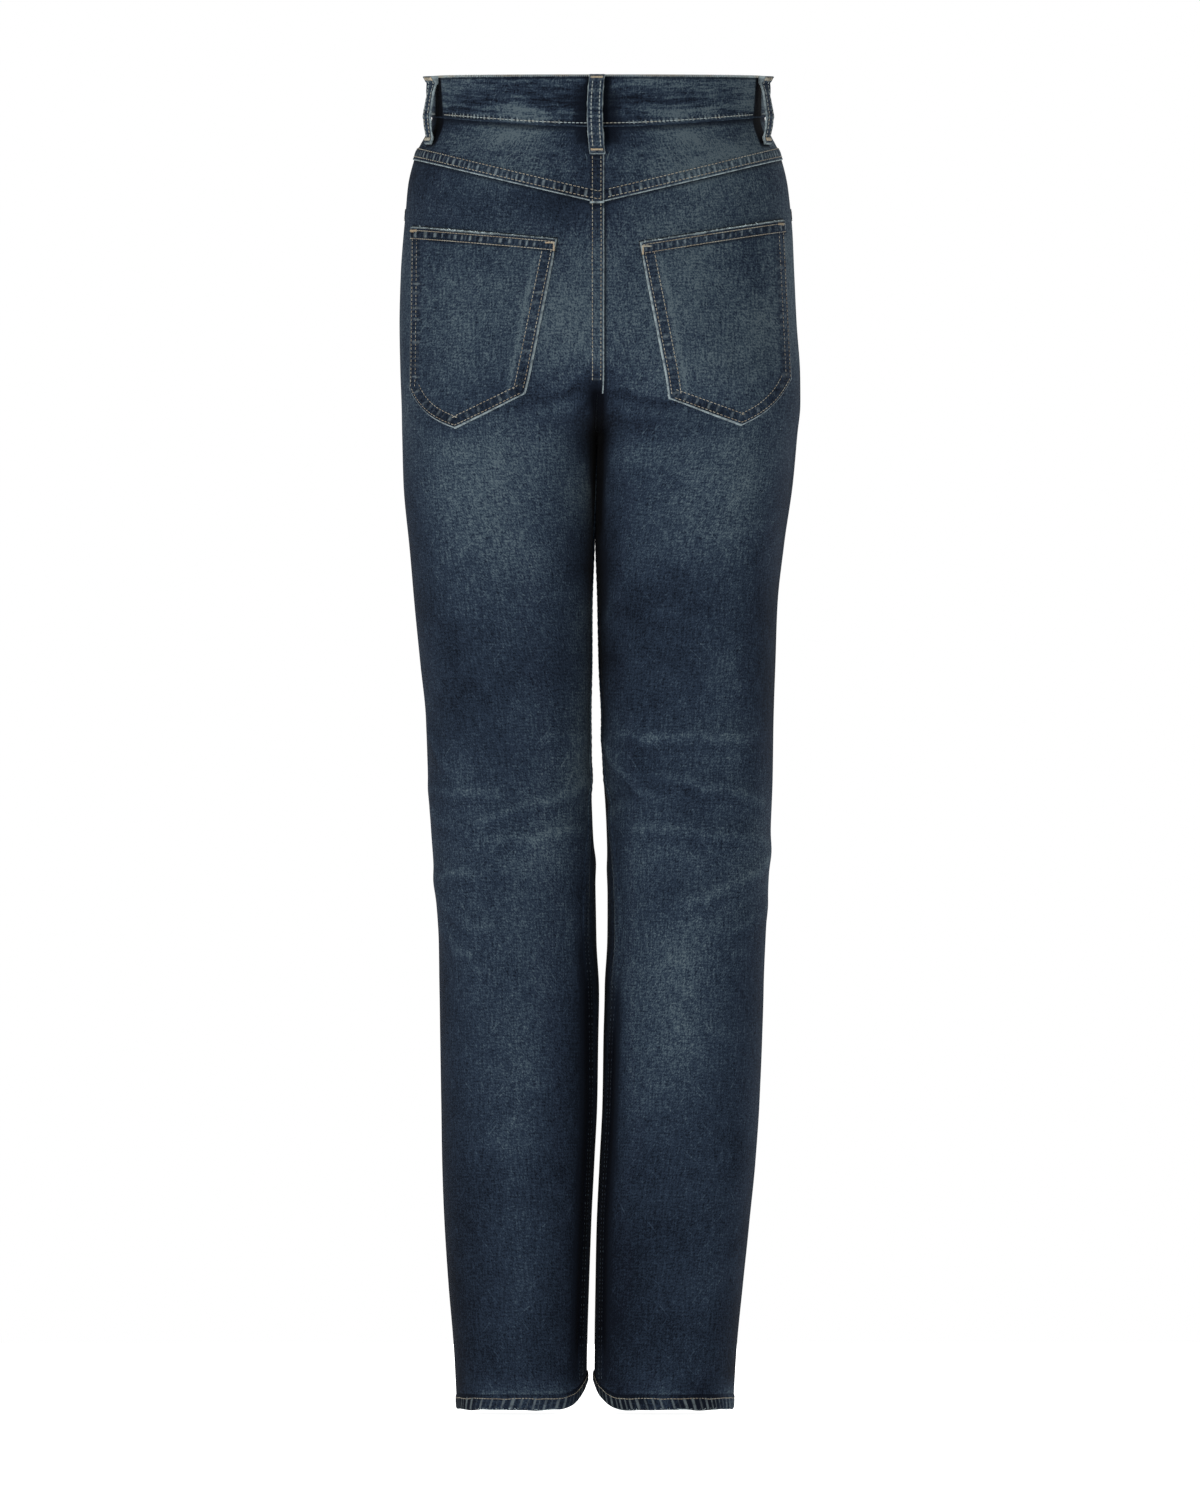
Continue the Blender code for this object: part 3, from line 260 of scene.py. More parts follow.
# How pale the cloth is painted, from 0 or less, unwashed and in shade, to 1, on the left and the right leg:
# five places from the leg's outer side in to its inner end, as seen square on. The levels hold the fade of
# the washed cloth together with painted light and shade: the back's levels differ between the legs so that
# places lit from the wearer's left come out paler, and the inner edges of the legs are painted darker.
WashAndShade = namedtuple("WashAndShade", "drop left right")
WASH_AND_SHADE_PLACES = (0.0, 0.22, 0.50, 0.83, 1.0)
WASH_AND_SHADE_BACK = (
    WashAndShade(0.008, (0.8, 0.7, 0.3, 0.5, -0.1), (1.0, 0.6, 0.7, 0.6, 0.3)),
    WashAndShade(0.020, (0.7, 0.2, 0.4, 0.1, -0.1), (1.0, 0.5, 0.3, 0.2, 0.7)),
    WashAndShade(0.032, (0.2, 0.2, 0.9, 0.2, -0.1), (0.5, 0.4, 0.8, 0.3, -0.1)),
    WashAndShade(0.050, (0.1, 0.7, 0.9, 0.4, -0.1), (0.8, 0.6, 1.0, 0.3, -0.1)),
    WashAndShade(0.064, (0.4, 0.6, 0.5, 0.5, 0.1), (0.8, 1.0, 0.7, 0.5, 0.3)),
    WashAndShade(0.080, (0.2, 0.4, 0.7, 0.5, 0.2), (0.5, 0.7, 1.0, 0.5, 0.2)),
    WashAndShade(0.100, (0.4, 0.4, 0.5, 0.1, 0.3), (0.6, 0.7, 0.7, 0.6, 0.1)),
    WashAndShade(0.140, (0.6, 0.5, 0.6, 0.6, 0.7), (0.8, 0.5, 0.9, 0.6, 0.8)),
    WashAndShade(0.200, (0.6, 0.6, 0.7, 0.8, 0.7), (0.7, 0.8, 0.7, 0.7, 0.7)),
    WashAndShade(0.230, (0.5, 0.6, 0.6, 0.7, 0.7), (0.7, 0.7, 0.8, 0.6, 0.6)),
    WashAndShade(0.255, (0.6, 0.6, 0.4, 0.5, -0.1), (0.4, 0.6, 0.6, 0.6, 0.1)),
    WashAndShade(0.280, (0.7, 0.3, 0.6, 0.4, -0.1), (0.5, 0.6, 0.4, 0.2, -0.1)),
    WashAndShade(0.303, (0.5, 0.6, 0.7, 0.6, 0.1), (0.5, 0.7, 0.6, 0.6, 0.2)),
    WashAndShade(0.335, (0.3, 0.7, 0.8, 0.5, 1.0), (0.3, 0.8, 0.7, 0.3, 0.5)),
    WashAndShade(0.370, (0.2, 0.6, 0.7, 0.5, 0.4), (0.3, 0.6, 0.6, 0.4, -0.1)),
    WashAndShade(0.400, (0.2, 0.5, 0.6, 0.5, 0.0), (0.3, 0.5, 0.4, 0.4, -0.1)),
    WashAndShade(0.432, (0.2, 0.4, 0.5, 0.4, 0.8), (0.1, 0.4, 0.3, 0.2, 0.5)),
    WashAndShade(0.470, (0.4, 0.2, 0.4, 0.3, 0.6), (0.1, 0.5, 0.3, 0.3, -0.1)),
    WashAndShade(0.505, (0.4, 0.2, 0.4, 0.4, 0.8), (0.1, 0.5, 0.4, 0.3, 0.4)),
    WashAndShade(0.535, (0.2, 0.3, 0.3, 0.5, 0.7), (0.2, 0.6, 0.5, 0.4, 0.4)),
    WashAndShade(0.562, (0.3, 0.5, 0.3, 0.6, 0.9), (0.3, 0.5, 0.4, 0.3, 0.7)),
    WashAndShade(0.594, (0.3, 0.5, 0.5, 0.6, 0.5), (0.5, 0.5, 0.4, 0.4, 0.5)),
    WashAndShade(0.630, (0.4, 0.5, 0.6, 0.6, 0.3), (0.6, 0.6, 0.5, 0.6, 0.1)),
    WashAndShade(0.660, (0.5, 0.5, 0.5, 0.4, 0.0), (0.5, 0.6, 0.5, 0.4, 0.3)),
    WashAndShade(0.695, (0.3, 0.5, 0.5, 0.5, -0.1), (0.3, 0.5, 0.7, 0.5, 0.5)),
    WashAndShade(0.756, (0.2, 0.4, 0.5, 0.3, -0.1), (0.3, 0.4, 0.7, 0.6, -0.1)),
    WashAndShade(0.820, (0.2, 0.4, 0.6, 0.2, -0.1), (0.4, 0.3, 0.5, 0.5, 0.0)),
    WashAndShade(0.886, (0.1, 0.3, 0.4, 0.2, -0.1), (0.3, 0.3, 0.3, 0.3, -0.1)),
    WashAndShade(0.950, (0.0, 0.2, 0.4, 0.2, -0.1), (0.2, 0.4, 0.2, 0.1, -0.1)),
    WashAndShade(1.050, (0.0, 0.2, 0.3, 0.2, -0.1), (0.0, 0.3, 0.3, 0.1, -0.1)),
    WashAndShade(1.072, (-0.1, 0.5, 0.6, 0.6, 0.2), (0.8, -0.1, 0.6, -0.1, 0.3)),
)
WASH_AND_SHADE_FRONT = tuple(WashAndShade(drop, places, places) for drop, places in (
    (0.000, (0.52, 0.56, 0.56, 0.50, 0.44)),
    (0.060, (0.48, 0.52, 0.56, 0.48, 0.44)),
    (0.140, (0.50, 0.60, 0.70, 0.58, 0.46)),
    (0.240, (0.52, 0.74, 0.86, 0.62, 0.36)),
    (0.340, (0.52, 0.82, 0.92, 0.58, 0.26)),
    (0.440, (0.44, 0.66, 0.76, 0.44, 0.20)),
    (0.540, (0.42, 0.62, 0.70, 0.42, 0.20)),
    (0.630, (0.44, 0.66, 0.74, 0.42, 0.18)),
    (0.720, (0.40, 0.56, 0.60, 0.32, 0.12)),
    (0.900, (0.35, 0.42, 0.42, 0.22, 0.10)),
    (1.080, (0.33, 0.36, 0.35, 0.20, 0.10)),
))

# ---- sizes of the looks
TABLE_STEP = 0.002  # drops between rows of a surface table
TABLE_ANGLES = 260
SHARE_STEPS = 240
PANEL_ROW = 0.0025
MOUTH_ROWS = 44  # rows of a front panel down its pocket's mouth
PANEL_COLUMNS = 46
SIDE_STEPS = np.array([0.0, 0.0009, 0.0022, 0.0070, 0.0088, 0.0110])  # from the side seam
INNER_STEPS = np.array([0.0113, 0.0094, 0.0078, 0.0052, 0.0028, 0.0012, 0.0])  # from the inner end
BEAD_PITCH = 0.0017
TUCK = 0.0010  # how far a top edge runs on under the piece above
SEAM_RIDGE = 0.0005  # the side seam's allowances under the cloth
PUCKER = 0.00028  # how far a sewn edge puckers
PUCKER_PITCH = 0.0052
HEM_PITCH, POCKET_PITCH, MOUTH_PITCH, LOOP_PITCH = 0.0056, 0.0058, 0.0045, 0.0044
BAND_PITCH, BAND_SLOW_PITCH = 0.0030, 0.0060
SEAT_STRIP_LEFT, SEAT_STRIP_RIGHT = 0.0070, -0.0047  # the centre back fell, across
SEAT_EDGES = (-SEAT_STRIP_LEFT, -SEAT_STRIP_RIGHT)
STRIP_LIFT = 0.0011
INSEAM_STRIP = 0.0100
# Rows of stitches, each by where it lies from its edge or line, and how far out.
BAND_ROW_UP, BAND_ROW_OUT = 0.0030, 0.00120
YOKE_ROWS = ((0.0028, 0.00085), (0.0092, 0.00072))
SEAT_ROWS = ((SEAT_STRIP_RIGHT + 0.0026, 0.00085), (SEAT_STRIP_LEFT - 0.0022, 0.00078))
INSEAM_ROWS = ((-0.0026, 0.00070), (0.0022 - INSEAM_STRIP, 0.00060))
POCKET_ROWS = {"inner": (0.0024, 0.0096), "foot": (0.0022, 0.0088), "outer": (0.0018, 0.0052)}
MOUTH_ROW_DOWNS = (0.0026, 0.0092)
SCOOP_ROW_INSETS, FLY_ROW_INSETS = (0.0022, 0.0088), (0.0015, 0.0078)
TACK_RADIUS, HEM_THREAD_RADIUS, BEAD_RADIUS = 0.00042, 0.00028, 0.00050
LOOP_THREAD_RADIUS, MOUTH_FRAY_RADIUS, HEM_FRAY_RADIUS = 0.00040, 0.00016, 0.00015
TIGHT_GAP = 0.0001  # between stitches that run on as one line
POCKET_THICK = 0.0016
POCKET_SHADOW = 0.0014  # how far the painted shadow round a back pocket's edge reaches out
POCKET_CURVE = 0.0075  # how far the outer foot of a back pocket bows out
CLEFT_FROM, CLEFT_HALF, CLEFT_DEPTH, CLEFT_FADE = 0.236, 0.012, 0.0080, 0.050
CLEFT_SHUT, CLEFT_DARK = 0.390, 0.0078  # the thighs touch down to here, and are painted with shade this far out
LOOP_TWIST = 0.16  # how far a side loop's back edge falls in towards the band
SIDE_LOOP_LEAN = (0.004, 0.017)  # how much further back its top and its foot are sewn
TACK_PITCH = 0.00068
THREAD_SIDES = 5
FLOOR_GAP = 0.004
WHITE = (1.0, 1.0, 1.0, 1.0)
LIGHT_AIM = (0.0, 0.0, -0.5)
KEY_PLACE, KEY_WIDTH = (2.6, 2.9, 1.5), 1.6  # behind the back; turned round for the front
FILL_PLACE, FILL_WIDTH = (-0.4, 4.6, -0.2), 2.4
IMAGE_HEIGHT = 1486  # pixels
PIXEL = OUTSEAM / 1335
AIM_PIXEL = (600.0, 743.0)  # the image's middle, across and down
CENTRE_PIXEL, TOP_PIXEL = 598.4, 75.3  # where the centre plane and the top edge lie in it
SENSOR = 36.0
CAMERA_AWAY = 30.0
DEPTH_OF_EDGE = 0.06  # how far behind the centre the back's outline lies
FAR = 1.0  # stands for "nowhere near" in the distance attributes


# ---- the figure as tables
def smooth(value):
    t = np.clip(value, 0.0, 1.0)
    return t * t * (3 - 2 * t)


def between(value, low, high, rise, fall=None):
    """1 between two limits, easing in above the low one and out below the high one."""
    return smooth((value - low) / rise) * smooth((high - value) / (fall or rise))


def bell(value, centre, width):
    """A soft bump: 1 at the centre, and hardly any two widths away."""
    return np.exp(-(((value - centre) / width) ** 2))


def rounded_edge(distance, radius):
    """A quarter circle from 0 at an edge to 1 at a radius from it."""
    return np.sqrt(1 - (1 - np.clip(distance / radius, 0, 1)) ** 2)


def alike(*values):
    """The values as arrays of one shape."""
    return np.broadcast_arrays(*[np.asarray(value, float) for value in values])


def unit(vectors):
    return vectors / np.linalg.norm(vectors, axis=-1, keepdims=True)


def lengths_along(line):
    """How far along a line each of its points lies."""
    return np.concatenate([[0], np.cumsum(np.linalg.norm(np.diff(line, axis=0), axis=-1))])


def slopes_through(drops, values):
    """Slopes of a cubic through the values that never overshoots them."""
    step = np.diff(values) / np.diff(drops)
    slopes = np.concatenate([[step[0]], np.zeros(len(step) - 1), [step[-1]]])
    product, total = step[:-1] * step[1:], step[:-1] + step[1:]
    same_way = product > 0
    slopes[1:-1][same_way] = 2 * product[same_way] / total[same_way]
    return slopes


DROPS = np.array([row.drop for row in SECTIONS])
VALUES = np.array(SECTIONS)
SLOPES = np.stack([slopes_through(DROPS, column) for column in VALUES.T], axis=1)


def sections(drop):
    """The section table's columns at any drops."""
    drop = np.asarray(drop, float)
    i = np.clip(np.searchsorted(DROPS, drop) - 1, 0, len(DROPS) - 2)
    span = DROPS[i + 1] - DROPS[i]
    t = ((drop - DROPS[i]) / span)[..., None]
    span = span[..., None]
    near, far = (1 + 2 * t) * (1 - t) ** 2, t * t * (3 - 2 * t)
    row = near * VALUES[i] + far * VALUES[i + 1]
    row = row + t * (1 - t) ** 2 * span * SLOPES[i] + t * t * (t - 1) * span * SLOPES[i + 1]
    return Section(*np.moveaxis(row, -1, 0))


def on_section(side, face, row, angle):
    """Level section points of one leg on the positive side: angle 0 is the side seam."""
    out = row.left if side == LEFT else row.right
    middle_y, half_y = (row.front + row.back) / 2, (row.back - row.front) / 2
    outer_half = np.cos(angle) > 0
    power = 2 / np.where(outer_half, OUTER_SQUARE, row.square)
    reach_x = np.where(outer_half, out - row.crest, row.inner - row.crest)
    x = row.crest + reach_x * np.abs(np.cos(angle)) ** power
    y = middle_y + face * half_y * np.sign(np.sin(angle)) * np.abs(np.sin(angle)) ** power
    return x, y


def angle_across(side, drop, across):
    """The angle at which the section is that far across from the centre plane."""
    row = sections(drop)
    out = row.left if side == LEFT else row.right
    outer = np.clip((across - row.crest) / (out - row.crest), 0, 1) ** (OUTER_SQUARE / 2)
    inner = np.clip((row.crest - across) / (row.crest - row.inner), 0, 1) ** (row.square / 2)
    return np.arccos(np.where(across > row.crest, outer, -inner))


TABLE_DROPS = np.arange(-0.008, OUTSEAM + 0.012, TABLE_STEP)
ANGLES = np.linspace(0, math.pi + PAST_INNER, TABLE_ANGLES)
ANGLE_STEP = ANGLES[1]


def cleft(drop, across):
    """How far the seat sinks in at the centre, round the fork."""
    deep = smooth((drop - CLEFT_FROM) / (FORK - CLEFT_FROM)) * (1 - smooth((drop - FORK) / CLEFT_FADE))
    return -CLEFT_DEPTH * deep * smooth(1 - across / (0.004 + CLEFT_HALF * deep))


def sample(table, row, column):
    """Bilinear reading of a table at fractional rows and columns."""
    i = np.clip(np.floor(row).astype(int), 0, table.shape[0] - 2)
    j = np.clip(np.floor(column).astype(int), 0, table.shape[1] - 2)
    f, g = np.clip(row - i, 0, 1), np.clip(column - j, 0, 1)
    if table.ndim == 3:
        f, g = f[..., None], g[..., None]
    upper = table[i, j] * (1 - g) + table[i, j + 1] * g
    lower = table[i + 1, j] * (1 - g) + table[i + 1, j + 1] * g
    return upper * (1 - f) + lower * f


class HalfLoop:
    """Tables of one face of one leg: points, normals and lengths for every drop and angle."""

    def __init__(self, side, face):
        self.side, self.face = side, face
        row = Section(*[column[:, None] for column in sections(TABLE_DROPS)])
        x, y = on_section(side, face, row, ANGLES[None, :])
        steps = np.hypot(np.diff(x, axis=1), np.diff(y, axis=1))
        self.along = np.concatenate([np.zeros((len(x), 1)), np.cumsum(steps, axis=1)], axis=1)
        index = np.arange(len(TABLE_DROPS))
        innermost = sample(self.along, index, np.full(len(index), math.pi / ANGLE_STEP))
        cut_angle = angle_across(side, TABLE_DROPS, GAP / 2)
        cut = sample(self.along, index, cut_angle / ANGLE_STEP)
        past_plane = row.inner[:, 0] < GAP / 2
        end = np.where(past_plane, cut, innermost - face * row.turn[:, 0] - GAP / 2)
        self.reach = end - GAP / 2
        self.innermost = innermost
        shares = np.linspace(0, 1, SHARE_STEPS + 1)
        at = GAP / 2 + shares[None, :] * self.reach[:, None]
        self.angle = np.array([np.interp(a, line, ANGLES) for a, line in zip(at, self.along)])
        self.share = (self.along - GAP / 2) / self.reach[:, None]
        self.bare = np.stack([x, y, np.broadcast_to(TOP_EDGE - TABLE_DROPS[:, None], x.shape)], -1)
        self.normal = self.normals()
        self.drift = row.drift[:, 0]
        self.slant = row.slant[:, 0]

    def normals(self):
        step_angle, step_drop = 0.02, 0.002
        angle = np.maximum(ANGLES, 2 * step_angle)[None, :]
        spots = []
        for drop_off, angle_off in ((0, -step_angle), (0, step_angle), (-step_drop, 0), (step_drop, 0)):
            drops = TABLE_DROPS + drop_off
            row = Section(*[column[:, None] for column in sections(drops)])
            x, y = on_section(self.side, self.face, row, angle + angle_off)
            spots.append(np.stack([x, y, np.broadcast_to(-drops[:, None], x.shape)], -1))
        before, after, above, below = spots
        return unit(self.face * np.cross(below - above, after - before))

    def raise_folds(self, folds):
        """Moves the surface out by the folds' height, and keeps their drawn crease pattern: a pale band on
        each crest, partly fade and partly painted highlight, with a painted shadow beside it.
        """
        total, drawn = np.zeros(self.share.shape), np.zeros(self.share.shape)
        for fold in folds:
            if fold.side == self.side:
                height, crest = self.one_fold(fold)
                total += height
                drawn += crest
        sections_hold = smooth((SEAM_HOLD_END - TABLE_DROPS) / (SEAM_HOLD_END - FORK))[:, None]
        held = sections_hold * (1 - smooth(self.bare[..., 0] / SEAM_HOLD))
        raised = total * (1 - held)
        limit = 0.5 * np.maximum(self.bare[..., 0], 0.0) / np.maximum(-self.normal[..., 0], 1e-6)
        raised = np.where(self.normal[..., 0] < 0, np.minimum(raised, limit), raised)
        self.crease_fade_and_shading = drawn * (1 - held)
        self.surface = self.bare + raised[..., None] * self.normal
        if self.face == BACK:
            self.surface[..., 1] += cleft(TABLE_DROPS[:, None], np.abs(self.bare[..., 0]))

    def one_fold(self, fold):
        here = self.reach[:, None]
        there = HALVES[self.side, fold.face].reach[:, None]
        drop = TABLE_DROPS[:, None]
        if fold.face == self.face:
            x = (self.share - fold.share) * here
        else:
            inner = (1 - fold.share) * there + (1 - self.share) * here
            outer = fold.share * there + self.share * here
            x = np.where((drop > FORK) & (inner < outer), inner, -outer)
        z = drop - fold.drop
        tilt = math.radians(fold.tilt)
        along = (x * math.cos(tilt) + z * math.sin(tilt)) / fold.half_length
        beside = (z * math.cos(tilt) - x * math.sin(tilt)) / fold.width
        ends = np.where(np.abs(z) > 0.09, 0.0, fold.height * np.exp(-(along**4)))
        raised = ends * np.exp(-(beside**2))
        beside = beside + 0.16 * np.sin(7.0 * along + 40.0 * fold.drop)
        beside = beside + 0.10 * np.sin(15.0 * along + 9.0 * fold.share)
        # The drawn crest: a pale band, partly fade and partly painted highlight, and beside it a darker band
        # of painted shadow.
        crest = np.exp(-((3.3 * beside + 0.5) ** 2)) - 0.55 * np.exp(-((2.5 * beside - 2.1) ** 2))
        return raised, ends * crest


HALVES = {(side, face): HalfLoop(side, face) for side in (LEFT, RIGHT) for face in (BACK, FRONT)}
ALL_FOLDS = [Fold(*key, *row) for table in (FOLDS, CREASES) for key, rows in table.items() for row in rows]
for half in HALVES.values():
    half.raise_folds(ALL_FOLDS)


def table_row(drop):
    return (np.asarray(drop, float) - TABLE_DROPS[0]) / TABLE_STEP


def at_angle(side, face, drop, angle, out=0.0):
    """Points of the garment, moved out from its outer surface."""
    half = HALVES[side, face]
    row, column = alike(table_row(drop), np.asarray(angle) / ANGLE_STEP)
    point = sample(half.surface, row, column)
    point = point + np.asarray(out, float)[..., None] * unit(sample(half.normal, row, column))
    above_fork = np.broadcast_to(np.asarray(drop) < FORK, row.shape)
    x = np.where(above_fork, np.maximum(point[..., 0], GAP / 2), point[..., 0])
    lean = np.interp(drop, TABLE_DROPS, half.slant) * np.tanh(point[..., 1] / SLANT_DEPTH)
    x = side * x + np.interp(drop, TABLE_DROPS, half.drift) + lean
    return np.stack([x, point[..., 1], point[..., 2]], -1)


def angle_at(side, face, drop, share):
    row, column = alike(table_row(drop), np.asarray(share) * SHARE_STEPS)
    return sample(HALVES[side, face].angle, row, column)


def on_cloth(side, face, drop, share, out=0.0):
    drop, share, out = alike(drop, share, out)
    return at_angle(side, face, drop, angle_at(side, face, drop, share), out)


def crease_fade_and_shading_at(side, face, drop, share):
    drop, share = alike(drop, share)
    half = HALVES[side, face]
    return sample(half.crease_fade_and_shading, table_row(drop), angle_at(side, face, drop, share) / ANGLE_STEP)


def reach_at(side, face, drop):
    return np.interp(drop, TABLE_DROPS, HALVES[side, face].reach)


def share_across(side, face, drop, across):
    """The share at which the surface is that far from the centre plane."""
    half = HALVES[side, face]
    share = sample(half.share, table_row(drop), angle_across(side, drop, across) / ANGLE_STEP)
    return np.clip(share, 0.0, 1.0)


def across_cloth(face, drop, across, out=0.0):
    """Points by signed distance across: +X is the wearer's left."""
    drop, across, out = alike(drop, across, out)
    points = np.zeros(drop.shape + (3,))
    for side in (LEFT, RIGHT):
        here = (across >= 0) == (side == LEFT)
        share = share_across(side, face, drop[here], np.abs(across[here]))
        points[here] = on_cloth(side, face, drop[here], share, out[here])
    return points


# ---- edges
def band_top(face, share):
    return BAND_TOP_FRONT * np.sin(np.asarray(share) * math.pi / 2) ** 2 if face == FRONT else 0.0 * share


def band_foot(face, share):
    middle = BAND_FOOT_FRONT if face == FRONT else BAND_FOOT_BACK
    return BAND_FOOT_SIDE + (middle - BAND_FOOT_SIDE) * np.sin(np.asarray(share) * math.pi / 2) ** 2


def yoke_foot(side, share):
    """Straight from the side seam to the centre back, seen from behind."""
    level = (YOKE_FOOT_SIDE + YOKE_FOOT_BACK) / 2
    row = table_row(level)
    half = HALVES[side, BACK]
    angle = angle_at(side, BACK, np.full(np.shape(share), level), share)
    x = sample(half.bare, np.full(np.shape(share), row), angle / ANGLE_STEP)[..., 0]
    widest = half.bare[int(round(float(row))), :, 0].max()
    return YOKE_FOOT_BACK + (YOKE_FOOT_SIDE - YOKE_FOOT_BACK) * x / widest


def hem_rise(side, face, share):
    half = HALVES[side, face]
    innermost = float(np.interp(OUTSEAM, TABLE_DROPS, half.innermost))
    away = np.abs(innermost - GAP / 2 - share * float(reach_at(side, face, OUTSEAM))) / HEM_RISE_REACH
    return HEM_RISE * smooth(1 - away)


def hem_drop(side, face, level, share):
    """A level near the hem, lifted as the hem is."""
    fade = np.maximum(0.0, (level - HEM_FADE_FROM) / (OUTSEAM - HEM_FADE_FROM))
    return level - hem_rise(side, face, share) * fade


def seam_strip(side, face, drop):
    """Width of the raised strip at the inner end of the left front: the fly, then the fell."""
    drop = np.asarray(drop, float)
    if face == FRONT and side == LEFT:
        curve = np.clip((drop - FLY_STRAIGHT) / (FLY_END - FLY_STRAIGHT), 0, 1)
        return FELL_WIDTH + (FLY_WIDTH - FELL_WIDTH) * np.sqrt(1 - curve**2)
    return np.full(drop.shape, FELL_WIDTH)


def scoop(part, grow=0.0):
    """A front pocket's mouth: (distance from the side seam, drop below the band), or beside it."""
    angle = np.asarray(part) * math.pi / 2
    power = 2 / SCOOP_SQUARE
    return (SCOOP_WIDTH + grow) * np.cos(angle) ** power, (SCOOP_DEPTH + grow) * np.sin(angle) ** power


def yoke_fell(drop):
    """How far the yoke's fell raises what is sewn over it at the centre back."""
    return FELL_LIFT * between(drop, YOKE_FOOT_BACK - FELL_WIDTH, YOKE_FOOT_BACK, 0.0015, 0.0008)


def wash_and_shade_at(side, face, drop, share):
    """How pale the cloth is painted there: the fade of the washed cloth with painted light and shade in it.
    """
    table = WASH_AND_SHADE_BACK if face == BACK else WASH_AND_SHADE_FRONT
    levels = [row.drop for row in table]
    paleness = np.array([row.left if side == LEFT else row.right for row in table])
    drop, share = alike(drop, share)
    half = HALVES[side, face]
    x = sample(half.bare, table_row(drop), angle_at(side, face, drop, share) / ANGLE_STEP)[..., 0]
    row = sections(drop)
    outer = row.left if side == LEFT else row.right
    inwards = (outer - x) / (outer - np.maximum(row.inner, 0.0))
    wash = np.zeros(drop.shape)
    for k, place in enumerate(WASH_AND_SHADE_PLACES):
        hat = np.interp(inwards, WASH_AND_SHADE_PLACES, np.arange(len(WASH_AND_SHADE_PLACES)) == k)
        wash += hat * np.interp(drop, levels, paleness[:, k])
    return wash


def inner_shade(side, drop, near):
    """The "under" value close to the inner edge of a lower leg: painted shade where the other leg shades it,
    with some deeper dye that was never rubbed.
    """
    start, width, most = (0.66, 0.0100, 0.0066) if side == LEFT else (0.70, 0.0088, 0.0064)
    deep = between(drop, start, 1.07, 0.10, 0.05)
    if side == RIGHT:
        deep = np.maximum(deep, 0.75 * between(drop, 0.37, 0.46, 0.02, 0.05))
    return 0.0036 - most * deep * smooth(1.35 - near / width)


def cleft_shade(side, drop, near):
    """The "under" value between the thighs, at a distance from the centre plane."""
    wide = CLEFT_DARK - 0.0026 * smooth((drop - 0.310) / 0.05)
    if side == LEFT:
        wide = wide + 0.0020 * (1 - smooth((drop - 0.262) / 0.012))
    shut = smooth((drop - CLEFT_FROM - 0.006) / 0.020) * smooth((CLEFT_SHUT - drop) / 0.030)
    return 0.0040 - 0.0080 * shut * smooth(1.25 - near / wide)


def pucker(run, pitch=PUCKER_PITCH, phase=0.0):
    """An uneven ripple along a sewn edge, from -1 to 1."""
    turn = 2 * math.pi * np.asarray(run) / pitch + phase
    slow = np.sin(turn * 0.137 + 1.7 * phase)
    return 0.62 * np.sin(turn + 1.6 * slow) + 0.28 * np.sin(turn * 0.61 + 2.1) + 0.10 * np.sin(turn * 1.9)


def unsteady(run, scale, phase=0.0):
    """A slow uneven wave, from -1 to 1."""
    turn = 2 * math.pi * np.asarray(run) / scale
    return 0.5 * np.sin(turn + phase) + 0.3 * np.sin(turn * 1.73 + 2 * phase) + 0.2 * np.sin(turn * 2.91 + 5)


# ---- meshes
# Per point values for the cloth's finish, in order: paleness, the fade with painted light and shade in it;
# distance to a rubbed edge; painted shade, darker below 0.0036 and near black below zero; roping; and the
# drawn fold crests, fade with painted highlight and shadow.
ATTRIBUTES = {"wash": 0.5, "edge": FAR, "under": FAR, "rope": 0.0, "ridge": 0.0}


def grid_quads(rows, columns, wrap_rows=False, wrap_columns=False):
    i = np.arange(rows if wrap_rows else rows - 1)[:, None]
    j = np.arange(columns if wrap_columns else columns - 1)[None, :]
    below, right = (i + 1) % rows, (j + 1) % columns
    corners = [i * columns + j, i * columns + right, below * columns + right, below * columns + j]
    return np.stack([np.broadcast_to(c, (i.size, j.size)) for c in corners], -1).reshape(-1, 4)


def make_piece(name, points, faces, caps, values, materials, inside_from=None, sharp=42.0):
    """A mesh object from arrays, its faces turned outwards, with its shading attributes."""
    volume = 0.0
    corners = points[faces]
    centre = points.mean(0)
    for k in (1, 2):
        a, b, c = corners[:, 0] - centre, corners[:, k] - centre, corners[:, k + 1] - centre
        volume += float((a * np.cross(b, c)).sum())
    rows = [tuple(face) for face in (faces if volume > 0 else faces[:, ::-1]).tolist()]
    rows += [tuple(cap if volume > 0 else cap[::-1]) for cap in caps]
    mesh = bpy.data.meshes.new(name)
    mesh.from_pydata(points.tolist(), [], rows)
    for key, default in ATTRIBUTES.items():
        value = np.broadcast_to(np.asarray(values.get(key, default), np.float32), len(points))
        layer = mesh.attributes.new(key, "FLOAT", "POINT")
        layer.data.foreach_set("value", np.ascontiguousarray(value, np.float32))
    weave = np.zeros((len(points), 3), np.float32)
    weave[:, :2] = values.get("weave", 0.0)
    mesh.attributes.new("weave", "FLOAT_VECTOR", "POINT").data.foreach_set("vector", weave.ravel())
    for material in materials:
        mesh.materials.append(material)
    if inside_from is not None:
        index = np.zeros(len(mesh.polygons), np.int32)
        index[inside_from[0]:inside_from[1]] = 1
        mesh.polygons.foreach_set("material_index", index)
    mesh.shade_smooth()
    mesh.set_sharp_from_angle(angle=math.radians(sharp))
    item = bpy.data.objects.new(f"{name}_{LOOK}" if name in NODES else name, mesh)
    bpy.context.scene.collection.objects.link(item)
    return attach(item, BODY)


def stand_in(item, slot, *nodes):
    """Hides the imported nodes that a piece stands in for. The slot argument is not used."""
    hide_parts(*nodes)
    return item


